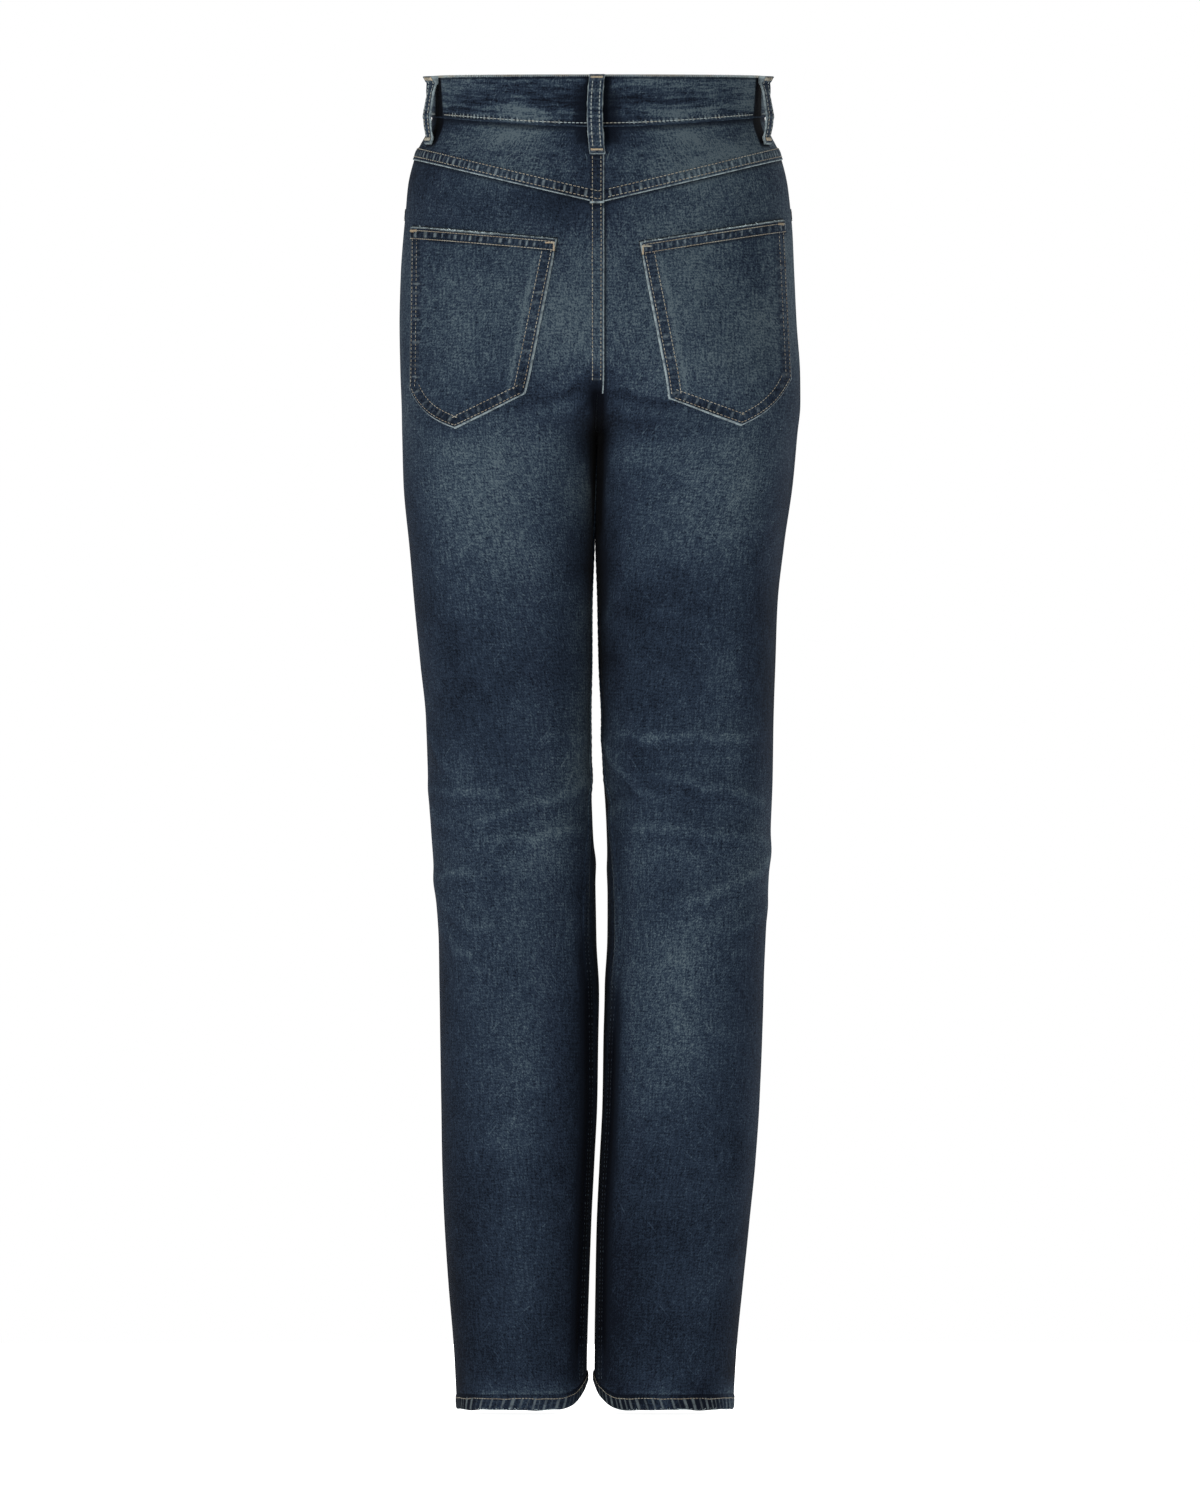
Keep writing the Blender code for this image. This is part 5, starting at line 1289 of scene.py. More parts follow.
def seat_seam(name):
    """The centre back fell, its folded edge lying over the right side."""
    start, end = BAND_FOOT_BACK + 0.004, 0.258

    def place(run, offset, out):
        if out is None:
            return wash_and_shade_at(LEFT, BACK, run, 0.97) + 0.0 * offset - 0.04
        return across_cloth(BACK, run, -offset, out)

    def seat(run, offset):
        return yoke_fell(run) + 0.0 * offset

    def shade(run, from_high):
        dark = cleft_shade(LEFT, run, np.abs(from_high + SEAT_STRIP_RIGHT))
        return 0.0045 + (dark - 0.0045) * smooth((from_high - 0.0005) / 0.0014)

    at_yoke = YOKE_FOOT_BACK + np.array([-0.0010, -0.0004, 0.0, 0.0004, 0.0014, 0.0040])
    runs = np.union1d(np.linspace(start, end, 190), at_yoke)
    return strip_piece(name, place, runs, *SEAT_EDGES, seat, 0.4, True, YOKE_FOOT_BACK, shade)


def front_seam(name):
    """The centre front fell, from the fly's end to the fork."""
    def place(run, offset, out):
        if out is None:
            return wash_and_shade_at(LEFT, FRONT, run, 0.97) + 0.0 * offset
        return across_cloth(FRONT, run, -offset, out)

    runs = np.linspace(FLY_END - 0.004, FORK - 0.004, 70)
    return strip_piece(name, place, runs, *SEAT_EDGES, no_rise, 2.4, True)


def inseam(name, side):
    """The felled inseam of one leg, its folded edge towards the front."""
    def place(run, offset, out):
        drop = hem_drop(side, BACK, run, 0.98)
        share = 1 + offset / reach_at(side, BACK, drop)
        if out is None:
            return wash_and_shade_at(side, BACK, drop, np.minimum(share, 1.0)) + 0.05
        return on_cloth(side, BACK, drop, np.minimum(share, 1.0), out)

    def shade(run, from_high):
        return inner_shade(side, run, 0.0) + 0.0 * from_high

    runs = np.linspace(FORK + 0.010, OUTSEAM - HEM_HEIGHT - 0.0005, 470)
    return strip_piece(name, place, runs, -INSEAM_STRIP, 0.0, no_rise, side, shade=shade)


# ---- pockets
def pocket_outline(shape, part):
    """Where the mouth and the foot are at a share of the pocket's width: across and drop of each."""
    part = np.asarray(part, float)[..., None]
    mouth = np.array(shape.mouth_outer) * (1 - part) + np.array(shape.mouth_inner) * part
    t = part / shape.tip_share
    outer = np.array(shape.foot_outer) * (1 - t) + np.array(shape.foot_tip) * t
    outer = outer + np.array([0.35, 1.0]) * POCKET_CURVE * 4 * t * (1 - t) * (1 - 0.45 * t)
    s = (part - shape.tip_share) / (1 - shape.tip_share)
    inner = np.array(shape.foot_tip) * (1 - s) + np.array(shape.foot_inner) * s
    return mouth, np.where(part < shape.tip_share, outer, inner)


def inset_steps(count, fine):
    """Shares from 0 to 1, close together at both ends."""
    edge = np.array([0.0, 0.3, 0.9, 1.7]) * fine
    return np.concatenate([edge, np.linspace(edge[-1] + fine, 1 - edge[-1] - fine, count), 1 - edge[::-1]])


def pocket_edges(side):
    """A back pocket's outline as lines of points, (across, drop): mouth, inner, foot and outer edge."""
    shape = POCKETS[side]
    mouth, foot = pocket_outline(shape, np.linspace(0, 1, 121))
    down = np.linspace(0, 1, 60)[:, None]
    return {
        "mouth": mouth,
        "outer": mouth[0] * (1 - down) + foot[0] * down,
        "inner": mouth[-1] * (1 - down) + foot[-1] * down,
        "foot": foot,
    }


def line_distance(points, line):
    """Distance of each point, and the length along the line, to a line of close points."""
    runs = lengths_along(line)
    gap = np.linalg.norm(points[..., None, :] - line, axis=-1)
    near = gap.argmin(axis=-1)
    best = np.full(points.shape[:-1], FAR)
    for k in (-1, 0):
        a = np.clip(near + k, 0, len(line) - 2)
        start, step = line[a], line[a + 1] - line[a]
        t = np.clip(((points - start) * step).sum(-1) / (step * step).sum(-1), 0, 1)
        best = np.minimum(best, np.linalg.norm(points - start - t[..., None] * step, axis=-1))
    return best, runs[near]


def back_pocket(name, side):
    """A patch pocket: turned mouth, edges turned under and roped, its bag a little slack."""
    shape = POCKETS[side]
    parts, downs = inset_steps(74, 0.0030), inset_steps(84, 0.0024)
    tip = shape.tip_share
    parts[np.abs(parts - tip).argmin()] = tip
    mouth, foot = pocket_outline(shape, parts)
    spots = mouth[None] * (1 - downs[:, None, None]) + foot[None] * downs[:, None, None]
    edges = pocket_edges(side)
    gaps = {key: line_distance(spots, line) for key, line in edges.items()}
    rim = np.ones(spots.shape[:2], bool)
    rim[1:-1, 1:-1] = False
    distance = {key: gap for key, (gap, _) in gaps.items()}
    length = {key: along for key, (_, along) in gaps.items()}
    # The rim is moved out past the outline and painted near black: a painted shadow round the pocket.
    spots[0, :, 1] -= POCKET_SHADOW
    spots[-1, :, 1] += 0.6 * POCKET_SHADOW
    spots[:, 0, 0] += 0.3 * POCKET_SHADOW
    spots[:, -1, 0] -= 0.6 * POCKET_SHADOW
    across, drop = spots[..., 0], spots[..., 1]
    upright = np.minimum(distance["outer"], distance["inner"])
    sides = np.minimum(upright, distance["foot"])
    from_mouth = distance["mouth"]
    nearest = np.minimum(sides, from_mouth)
    rounded = rounded_edge(nearest, 0.0010)
    along = np.where(distance["outer"] < distance["inner"], length["outer"], length["inner"])
    along = np.where(distance["foot"] <= upright, length["foot"], along)
    ripple = pucker(along, POCKET_PITCH, side)
    mouth_ripple = pucker(length["mouth"], MOUTH_PITCH, 1.0 + side)
    part = length["mouth"] / length["mouth"].max()
    first, last = (0.17, 0.60) if side == LEFT else (0.52, 0.66)
    frayed = between(part, first, last, 0.05)
    hemmed = smooth((POCKET_HEM + 0.0012 - from_mouth) / 0.0018)
    turned = smooth((0.0100 - sides) / 0.0024)
    slack = smooth((nearest - 0.006) / 0.030)
    waves = unsteady(across + 0.4 * drop, 0.047, side) * unsteady(drop - 0.3 * across, 0.083, 2.0)
    valley = bell(nearest, 0.0024, 0.0008)
    lift = POCKET_THICK + 0.0008 * hemmed + 0.0004 * turned + slack * (0.0010 + 0.0007 * waves)
    lift = lift + PUCKER * (ripple * turned * smooth(sides / 0.002) + mouth_ripple * hemmed)
    lift = PLY_GAP + rounded * (lift - 0.00025 * valley) - 0.0003 * (1 - rounded)
    share = share_across(side, BACK, drop, across)
    worn = bell(distance["inner"], 0.0138, 0.0016) * smooth((from_mouth - 0.012) / 0.01)
    rope = 0.55 * ripple * turned * smooth((sides - 0.0022) / 0.001) * (1 - hemmed)
    rope = rope + mouth_ripple * between(from_mouth, 0.0034, 0.0082, 0.001)
    # Painted shadow just below the mouth's turned hem.
    under = np.where(from_mouth > POCKET_HEM, (from_mouth - POCKET_HEM) * 1.4, 0.0045)
    values = {
        "weave": (across, drop),
        "wash": wash_and_shade_at(side, BACK, drop, share) - 0.24 * np.maximum(turned, hemmed) + 0.34 * worn,
        "edge": np.minimum(sides + 0.0003, (1.15 - 0.45 * frayed) * from_mouth + 0.0002),
        "rope": np.clip(rope, -1, 1),
        # Near black on the rim: the painted shadow round the pocket.
        "under": np.where(rim, -0.0035, under),
        # The fold crests' fade with their painted highlight and shadow, and painted light and shade on the
        # slack bag's waves.
        "ridge": crease_fade_and_shading_at(side, BACK, drop, share) + 0.0006 * slack * waves,
    }
    outer = on_cloth(side, BACK, drop, share, lift)
    inner = on_cloth(side, BACK, drop, share, PLY_GAP - 0.0004)
    item = wall(name, outer, inner, values, [denim("denim_pocket", 0.0, 0.85)])
    return stand_in(item, "denim", name)


def pocket_facing(name, side):
    """The cloth that shows in a front pocket's mouth."""
    part, down = np.linspace(0, 1, 40)[None, :], np.linspace(0, 1, 46)[:, None]
    reach = float(reach_at(side, FRONT, SCOOP_DEPTH))
    share = (SCOOP_WIDTH + FACING_LAP) / reach * part
    drop = band_foot(FRONT, share) + GAP + (SCOOP_DEPTH + FACING_LAP) * down
    depth = CLOTH + UNDER_GAP
    mouth = mouth_distance(side, share * reach_at(side, FRONT, drop), drop - band_foot(FRONT, share))
    values = {"weave": (share * reach, drop), "wash": 0.30}
    # Painted shade on the facing near the pocket's mouth and under its top.
    values["under"] = np.minimum(mouth, 0.004 + drop - drop[:1])
    drop = drop - 4 * TUCK * (1 - down) ** 8
    outer = on_cloth(side, FRONT, drop, share, -depth)
    inner = on_cloth(side, FRONT, drop, share, -depth - CLOTH)
    item = wall(name, outer, inner, values, [denim("denim_facing"), denim_back("denim_inside")])
    return stand_in(item, "denim", name)


# ---- belt loops
LoopPlace = namedtuple("LoopPlace", "name top foot on_panel place twist")


def side_loop_line(drop):
    """How far behind the side seam a side loop's middle lies."""
    return SIDE_LOOP_BEHIND + SIDE_LOOP_LEAN[0] + SIDE_LOOP_LEAN[1] * np.clip(drop / 0.056, 0, 1)


def loop_bend(drop):
    """How far the centre back loop bends out to the wearer's left."""
    return 0.0007 + 0.0021 * np.sin(math.pi * np.clip(drop / 0.064, 0.001, 0.999)) ** 0.7


def loop_shadow(side, drop, from_side):
    """The "under" value of the cloth behind and beside the back belt loops."""
    beside = np.abs(from_side - side_loop_line(drop) - 0.0018) / (LOOP_WIDTH / 2)
    across = side * (reach_at(side, BACK, drop) - from_side) - loop_bend(drop) + 0.0016
    centre = np.abs(across) / (LOOP_WIDTH / 2 + 0.0012)
    dark = np.maximum(smooth((1.40 - beside) / 0.40), 0.85 * smooth((1.50 - centre) / 0.50))
    dark = np.maximum(dark, 0.52 * smooth((3.1 - centre) / 1.6) * smooth((drop - 0.004) / 0.016))
    return 0.0040 - 0.0070 * dark * smooth((BAND_FOOT_BACK + LOOP_TAIL - 0.004 - drop) / 0.008)


def loop_places():
    """Where each belt loop is sewn, and a function for the points along it."""
    def by_centre(face, across):
        bend = loop_bend if face == BACK else lambda drop: 0.0 * drop
        return lambda drop, offset, out: across_cloth(face, drop, across + bend(drop) + offset, out)

    def by_side_seam(side):
        def place(drop, offset, out):
            share = (side_loop_line(drop) + offset) / reach_at(side, BACK, drop)
            points = on_cloth(side, BACK, drop, share, out)
            shoulder = 0.0038 * smooth(-2 * offset / LOOP_WIDTH) * (1 - smooth((drop - 0.005) / 0.013))
            belly = 0.0032 * bell(drop, 0.040, 0.0115)
            points[..., 0] += side * (shoulder + belly)
            return points

        return place

    seat = FELL_LIFT + PLY_GAP
    rows = [LoopPlace("loop_back", 0.0, BAND_FOOT_BACK, seat, by_centre(BACK, 0.0), 0.0)]
    for word, side in SIDES:
        foot = float(band_foot(BACK, 0.0))
        rows.append(LoopPlace(f"loop_side_{word}", 0.0, foot, PLY_GAP, by_side_seam(side), LOOP_TWIST))
        share = float(share_across(side, FRONT, np.array(BAND_FOOT_SIDE), FRONT_LOOP_ACROSS))
        top, foot = float(band_top(FRONT, share)), float(band_foot(FRONT, share))
        place = by_centre(FRONT, side * FRONT_LOOP_ACROSS)
        rows.append(LoopPlace(f"loop_front_{word}", top, foot, PLY_GAP, place, 0.0))
    return rows


def loop_profile(spot, drops, offsets=0.0):
    """How far out a belt loop's underside is, and its thickness, at each drop and offset across."""
    top, end = spot.top + GAP, spot.foot + LOOP_TAIL
    free = np.clip((drops - top - LOOP_SEWN) / (end - top - 2 * LOOP_SEWN), 0, 1)
    lean = 1.05 - spot.twist * (0.5 + np.asarray(offsets) / LOOP_WIDTH) if spot.twist else 1.0
    bow = LOOP_BOW * np.sin(math.pi * free) ** 0.62 * lean
    seat = BAND_PROUD + PLY_GAP + (spot.on_panel - BAND_PROUD - PLY_GAP) * smooth((drops - spot.foot) / 0.006)
    thick = LOOP_THICK + LOOP_TOP_FOLD * (1 - smooth((drops - top) / (1.5 * LOOP_SEWN)))
    thick = thick + LOOP_FOOT_FOLD * (1 - smooth((end - drops) / (1.5 * LOOP_SEWN)))
    return bow + seat, thick


def belt_loop(spot):
    """A folded strip with two rows of stitches, its edges puffed and rubbed."""
    top, end = spot.top + GAP, spot.foot + LOOP_TAIL
    steps = np.array([0, 0.006, 0.016, *np.linspace(0.03, 0.97, 56), 0.984, 0.994, 1.0])
    drops = top + (end - top) * steps
    half = 0.94 * LOOP_WIDTH / 2
    across = np.array([-1, -0.96, -0.86, -0.66, -0.48, -0.30, 0, 0.30, 0.48, 0.66, 0.86, 0.96, 1])
    under = np.array([0.94, 0.5, 0.0, -0.5, -0.94])
    thick = loop_profile(spot, drops)[1]
    ends = np.minimum(drops - top, end - drops)
    rounded = 0.45 + 0.55 * rounded_edge(ends, 0.0012)
    dome = np.array([0.50, 0.80, 1.0, 0.96, 0.84, 0.94, 0.97, 0.94, 0.84, 0.96, 1.0, 0.80, 0.50])
    ripple = pucker(drops, LOOP_PITCH, half)[:, None]
    width = half * (1 + 0.035 * unsteady(drops, 0.013, len(spot.name))) * (1 - 0.04 * (1 - rounded))
    base = loop_profile(spot, drops[:, None], half * np.concatenate([across, under]))[0]
    raised = (thick * rounded)[:, None] * (dome + 0.06 * ripple * (np.abs(across) > 0.6))
    outs = base + np.concatenate([raised, np.zeros((len(drops), len(under)))], axis=1)
    offsets = width[:, None] * np.concatenate([across, under])
    points = spot.place(np.repeat(drops[:, None], outs.shape[1], axis=1), offsets, outs)
    from_edge = half - np.abs(offsets)
    values = {
        "weave": (offsets, drops[:, None]),
        "wash": 0.50 + 0.14 * unsteady(drops, 0.011, half)[:, None] + 0.0 * outs,
        "edge": np.minimum(from_edge + (0.0002 if spot.twist else 0.0005), ends[:, None] + 0.0007),
        "rope": 0.9 * ripple * between(from_edge, 0.0008, 0.0052, 0.001),
    }
    item = loft(spot.name, points, values, [denim("denim_loop", 0.0, 0.6)], sharp=60)
    return stand_in(item, "denim_faded", spot.name)


# ---- fly and button
def flat_patch(name, half, depth, thick, end, materials, slot):
    """A straight piece sewn in behind the fly."""
    across, down = np.linspace(-half, half, 16)[None, :], np.linspace(0, 1, 48)[:, None]
    top = BAND_FOOT_FRONT + UNDER_GAP
    drop = top + (end - top) * down + 0.0 * across
    values = {"weave": (across, drop), "wash": 0.25}
    outer = across_cloth(FRONT, drop, across, -depth)
    inner = across_cloth(FRONT, drop, across, -depth - thick)
    return stand_in(wall(name, outer, inner, values, materials), slot, name)


def boxes_mesh(name, centres, rights, ups, outs, sizes, material):
    """Many small blocks as one mesh, each with its own directions and half sizes."""
    corners = np.array([(x, y, z) for z in (-1, 1) for y in (-1, 1) for x in (-1, 1)], float)
    order = np.array([(0, 2, 3, 1), (4, 5, 7, 6), (0, 1, 5, 4), (2, 6, 7, 3), (0, 4, 6, 2), (1, 3, 7, 5)])
    axes = np.stack([rights, outs, ups], axis=1)
    local = corners[None] * np.asarray(sizes)
    points = (centres[:, None] + np.einsum("nkc,ncd->nkd", local, axes)).reshape(-1, 3)
    faces = (order[None] + 8 * np.arange(len(centres))[:, None, None]).reshape(-1, 4)
    return make_piece(name, points, faces, [], {}, [material], sharp=30)


def directions(face, drop, across, depth):
    """Right, up and out directions on the cloth at a signed distance across."""
    here = across_cloth(face, drop, across, depth)
    right = across_cloth(face, drop, across + 0.002, depth) - here
    up = across_cloth(face, drop - 0.002, across, depth) - here
    out = across_cloth(face, drop, across, depth + 0.002) - here
    return here, unit(right), unit(up), unit(out)


def zip_teeth(name):
    """Two interleaved rows of teeth down the tape."""
    top, end, pitch = BAND_FOOT_FRONT + 0.006, FLY_END - 0.018, 0.0021
    drop = np.arange(top, end, pitch / 2)
    across = np.where(np.arange(len(drop)) % 2 == 0, 0.0011, -0.0011)
    depth = -(CLOTH + UNDER_GAP + ZIP_THICK + 0.0002)
    here, right, up, out = directions(FRONT, drop, across, np.full(len(drop), depth))
    return boxes_mesh(name, here, right, up, out, (0.0017, 0.0005, 0.00045), brass("antique_brass"))


def turned_ring(name, profile, seat, normal, steps, material):
    """A solid of revolution on a seat point, about the cloth's normal."""
    turn = np.linspace(0, 2 * math.pi, steps, endpoint=False)
    radius, height = np.array(profile).T
    local = np.stack([radius[None] * np.cos(turn)[:, None], radius[None] * np.sin(turn)[:, None],
                      np.broadcast_to(height, (steps, len(height)))], -1)
    rotate = np.array(Vector((0, 0, 1)).rotation_difference(Vector(normal)).to_matrix())
    points = local @ rotate.T + np.asarray(seat)
    quads = grid_quads(steps, len(profile), wrap_rows=True)
    under = list(range(0, steps * len(profile), len(profile)))
    over = [i + len(profile) - 1 for i in under]
    return make_piece(name, points.reshape(-1, 3), quads, [under[::-1], over], {}, [material], sharp=35)


# From the shank's foot over the rim to the middle, as shares of the button's radius and height.
BUTTON_PROFILE = (
    (0.30, 0.0), (0.45, 0.02), (0.45, 0.33), (0.80, 0.36), (0.93, 0.42), (0.985, 0.52), (1.0, 0.62),
    (0.985, 0.74), (0.93, 0.86), (0.86, 0.88), (0.80, 0.82), (0.74, 0.72), (0.66, 0.74), (0.55, 0.84),
    (0.38, 0.93), (0.20, 0.98), (0.06, 1.0),
)


def button_piece(name):
    """A shank button: rolled rim round a low dished dome."""
    drop = (BAND_TOP_FRONT + BAND_FOOT_FRONT) / 2
    seat = across_cloth(FRONT, drop, BUTTON_ACROSS, BAND_PROUD + PLY_GAP)
    ahead = across_cloth(FRONT, drop, BUTTON_ACROSS, 0.01) - across_cloth(FRONT, drop, BUTTON_ACROSS, 0.0)
    profile = [(r * BUTTON_RADIUS, h * BUTTON_HEIGHT) for r, h in BUTTON_PROFILE]
    item = turned_ring(name, profile, seat, unit(ahead), 64, brass("antique_brass"))
    return stand_in(item, "metal", name)


# ---- thread
def thread_mesh(name, segments, material):
    """Every stitch as a short bent strand: segments are (starts, ends, normals, radius)."""
    heights, girths = np.array([-0.9, 0.45, 0.45, -0.9]), np.array([0.55, 1.0, 1.0, 0.55])
    places = np.array([0.0, 0.22, 0.78, 1.0])
    turn = np.linspace(0, 2 * math.pi, THREAD_SIDES, endpoint=False)
    all_points = []
    for starts, ends, normals, radius in segments:
        along = ends - starts
        along = along / np.maximum(np.linalg.norm(along, axis=-1, keepdims=True), 1e-9)
        beside = np.cross(along, normals)
        centre = starts[:, None] + (ends - starts)[:, None] * places[None, :, None]
        centre = centre + normals[:, None] * (heights * radius)[None, :, None]
        ring = np.cos(turn)[None, None, :, None] * beside[:, None, None]
        ring = ring + 0.8 * np.sin(turn)[None, None, :, None] * normals[:, None, None]
        all_points.append((centre[:, :, None] + ring * (girths * radius)[None, :, None, None]).reshape(-1, 3))
    points = np.concatenate(all_points)
    strands = len(points) // (4 * THREAD_SIDES)
    quads = grid_quads(4, THREAD_SIDES, wrap_columns=True)
    base = (np.arange(strands) * 4 * THREAD_SIDES)[:, None, None]
    faces = (quads[None] + base).reshape(-1, 4)
    near, far = list(range(THREAD_SIDES))[::-1], list(range(3 * THREAD_SIDES, 4 * THREAD_SIDES))
    caps = [[int(b) + k for k in cap] for b in base[:, 0, 0] for cap in (near, far)]
    return make_piece(name, points, faces, caps, {}, [material], sharp=80)


def seam_row(place, runs, offset, out, radius=None, gap=None):
    """One row of lock stitches along place(run, offset, out)."""
    sizes = bpy.context.scene.jeans_sizes
    radius = sizes.thread_radius if radius is None else radius
    runs = np.asarray(runs, float)
    offset, out = np.broadcast_to(offset, runs.shape), np.broadcast_to(out, runs.shape)
    line = place(runs, offset, out)
    higher = place(runs, offset, out + 0.001)
    length = lengths_along(line)
    pitch = sizes.stitch_length + (sizes.stitch_gap if gap is None else gap)
    count = max(1, int(length[-1] / pitch))
    starts = (np.arange(count) + 0.5 * (length[-1] / pitch - count)) * pitch
    jitter = 0.00012 * np.sin(np.arange(count) * 12.9898 + length[-1] * 7919)

    def read(at, table):
        return np.stack([np.interp(at, length, table[:, k]) for k in range(3)], -1)

    begin, end = read(starts + jitter, line), read(starts + jitter + sizes.stitch_length, line)
    normal = unit(read(starts + sizes.stitch_length / 2, higher - line))
    return begin, end, normal, radius


def tack_row(place, run, low, high, out, height, across_run=False):
    """A bartack: close strands side by side between two offsets, or between two runs."""
    count = max(3, int(abs(high - low) / TACK_PITCH))
    at = np.linspace(low, high, count)

    def points(level, out):
        level = np.full(count, level)
        return place(at, level, out) if across_run else place(level, at, out)

    first, last = points(run - height / 2, out), points(run + height / 2, out)
    return first, last, unit(points(run, out + 0.001) - points(run, out)), TACK_RADIUS


def band_stitching():
    rows, shares = [], np.linspace(0.002, 0.998, 240)
    for _, side in SIDES:
        for face in (BACK, FRONT):
            def place(run, offset, out, side=side, face=face):
                return on_cloth(side, face, band_foot(face, run) - BAND_ROW_UP + 0.0 * offset, run, out)

            last = 0.87 if (side, face) == (RIGHT, FRONT) else 1.0
            beside = 0.0
            if face == BACK:
                beside = side_loop_line(BAND_FOOT_SIDE) / float(reach_at(side, face, BAND_FOOT_SIDE))
            rows.append(seam_row(place, shares[shares > 1.3 * beside] * last, 0.0, BAND_ROW_OUT))
            if beside:
                rows.append(seam_row(place, shares[shares < 0.8 * beside], 0.0, BAND_ROW_OUT))
            rows.append(edge_beads(side, face, last))
    return rows


def edge_beads(side, face, last):
    """Short threads over the waistband's top edge, one beside the other."""
    length = last * float(reach_at(side, face, 0.02))
    count = round(length / BEAD_PITCH)
    share = (np.arange(count) + 0.5) / count * last
    low, high = band_top(face, share) - 0.0003, band_top(face, share) + 0.0017
    first, end = on_cloth(side, face, low, share, 0.0009), on_cloth(side, face, high, share, 0.0012)
    return first, end, unit(on_cloth(side, face, high, share, 0.0022) - end), BEAD_RADIUS


def yoke_stitching():
    rows = []
    for _, side in SIDES:
        def place(run, offset, out, side=side):
            return on_cloth(side, BACK, yoke_foot(side, run) - offset, run, out)

        shares = np.linspace(0.004, 0.97, 260)
        rows += [seam_row(place, shares, up, out) for up, out in YOKE_ROWS]
    slope = (YOKE_FOOT_BACK - YOKE_FOOT_SIDE) / float(sections(YOKE_FOOT_BACK).left)

    def over_strip(run, offset, out):
        drop = YOKE_FOOT_BACK - slope * np.abs(run) - offset
        return across_cloth(BACK, drop, run, out + FELL_LIFT + STRIP_LIFT)

    steps = np.linspace(SEAT_STRIP_LEFT, SEAT_STRIP_RIGHT + 0.001, 12)
    return rows + [seam_row(over_strip, steps, up, 0.00015) for up, _ in YOKE_ROWS]


def seat_stitching():
    def back(run, offset, out):
        return across_cloth(BACK, run, offset, out + yoke_fell(run))

    def front(run, offset, out):
        return across_cloth(FRONT, run, offset, out)

    lines = (
        (back, np.linspace(BAND_FOOT_BACK + LOOP_TAIL, 0.249, 400)),
        (front, np.linspace(FLY_END + 0.004, FORK - 0.014, 160)),
    )
    return [seam_row(place, runs, offset, out) for place, runs in lines for offset, out in SEAT_ROWS]


def inseam_stitching():
    rows = []
    for _, side in SIDES:
        def place(run, offset, out, side=side):
            drop = hem_drop(side, BACK, run, 0.98)
            return on_cloth(side, BACK, drop, 1 + offset / reach_at(side, BACK, drop), out)

        runs = np.linspace(FORK + 0.018, OUTSEAM - HEM_HEIGHT - 0.002, 900)
        rows += [seam_row(place, runs, offset, out) for offset, out in INSEAM_ROWS]
    return rows


def inset_line(line, centre, distance):
    """A line of (across, drop) points moved towards a centre by a distance."""
    step = np.gradient(line, axis=0)
    normal = unit(np.stack([-step[:, 1], step[:, 0]], -1))
    towards = ((centre - line) * normal).sum(-1).mean()
    return line + np.sign(towards) * distance * normal


def pocket_rows(side):
    """Lines of sewing on a back pocket: (points, height)."""
    edges = pocket_edges(side)
    centre = np.concatenate(list(edges.values())).mean(0)
    raised = PLY_GAP + POCKET_THICK
    lines = []
    for key, distances in POCKET_ROWS.items():
        for distance in distances:
            moved = inset_line(edges[key], centre, distance)
            inside = np.all([line_distance(moved, edges[other])[0] > min(distances) * 0.9
                             for other in edges if other != key], axis=0)
            lines.append((moved[inside], raised + 0.0002))
    for distance in MOUTH_ROW_DOWNS:
        moved = inset_line(edges["mouth"], centre, distance)
        lines.append((moved[1:-1], raised + 0.0009))
    return lines  # the last two are the mouth's


def pocket_stitching():
    rows = []
    for _, side in SIDES:
        for number, (line, out) in enumerate(pocket_rows(side)):
            across, drop = line.T
            index = np.arange(len(line), dtype=float)

            def place(run, offset, lift, across=across, drop=drop, index=index, side=side):
                a, d = np.interp(run, index, across), np.interp(run, index, drop)
                return across_cloth(BACK, d, side * a + 0.0 * offset, lift)

            gap = TIGHT_GAP if number > 5 else None
            rows.append(seam_row(place, np.linspace(0, len(line) - 1, 4 * len(line)), 0.0, out, gap=gap))
    return rows


def loop_stitching():
    rows = []
    for spot in loop_places():
        top, end = spot.top + GAP, spot.foot + LOOP_TAIL

        def place(run, offset, out, spot=spot):
            base, thick = loop_profile(spot, run, offset)
            return spot.place(run, offset, base + 0.86 * thick + out)

        runs = np.linspace(top + 0.004, end - 0.004, 60)
        for share in (-0.26, 0.22):
            rows.append(seam_row(place, runs, share * LOOP_WIDTH, 0.00012, LOOP_THREAD_RADIUS))
    return rows


def front_stitching():
    """The fly's curve and the front pocket mouths."""
    rows = []
    start, end = BAND_FOOT_FRONT + 0.001, FLY_END
    for inset in FLY_ROW_INSETS:
        def place(run, offset, out, inset=inset):
            width = seam_strip(LEFT, FRONT, run) - FELL_WIDTH
            width = np.maximum(width * (FLY_WIDTH - inset) / (FLY_WIDTH - FELL_WIDTH), 0.0)
            return across_cloth(FRONT, run, width + 0.0 * offset, out)

        stop = end - inset
        t = np.linspace(0, 1, 400)
        runs = start + (stop - start) * np.sin(t * math.pi / 2) ** 0.9
        rows.append(seam_row(place, runs, 0.0, 0.00095))
    for _, side in SIDES:
        for grow in SCOOP_ROW_INSETS:
            def mouth(run, offset, out, side=side, grow=grow):
                away, below = scoop(run, grow)
                share = away / reach_at(side, FRONT, BAND_FOOT_SIDE + below)
                drop = band_foot(FRONT, share) + GAP + below
                return on_cloth(side, FRONT, drop, share, out + 0.0 * offset)

            rows.append(seam_row(mouth, np.linspace(0.02, 0.985, 200), 0.0, 0.00085))
    return rows


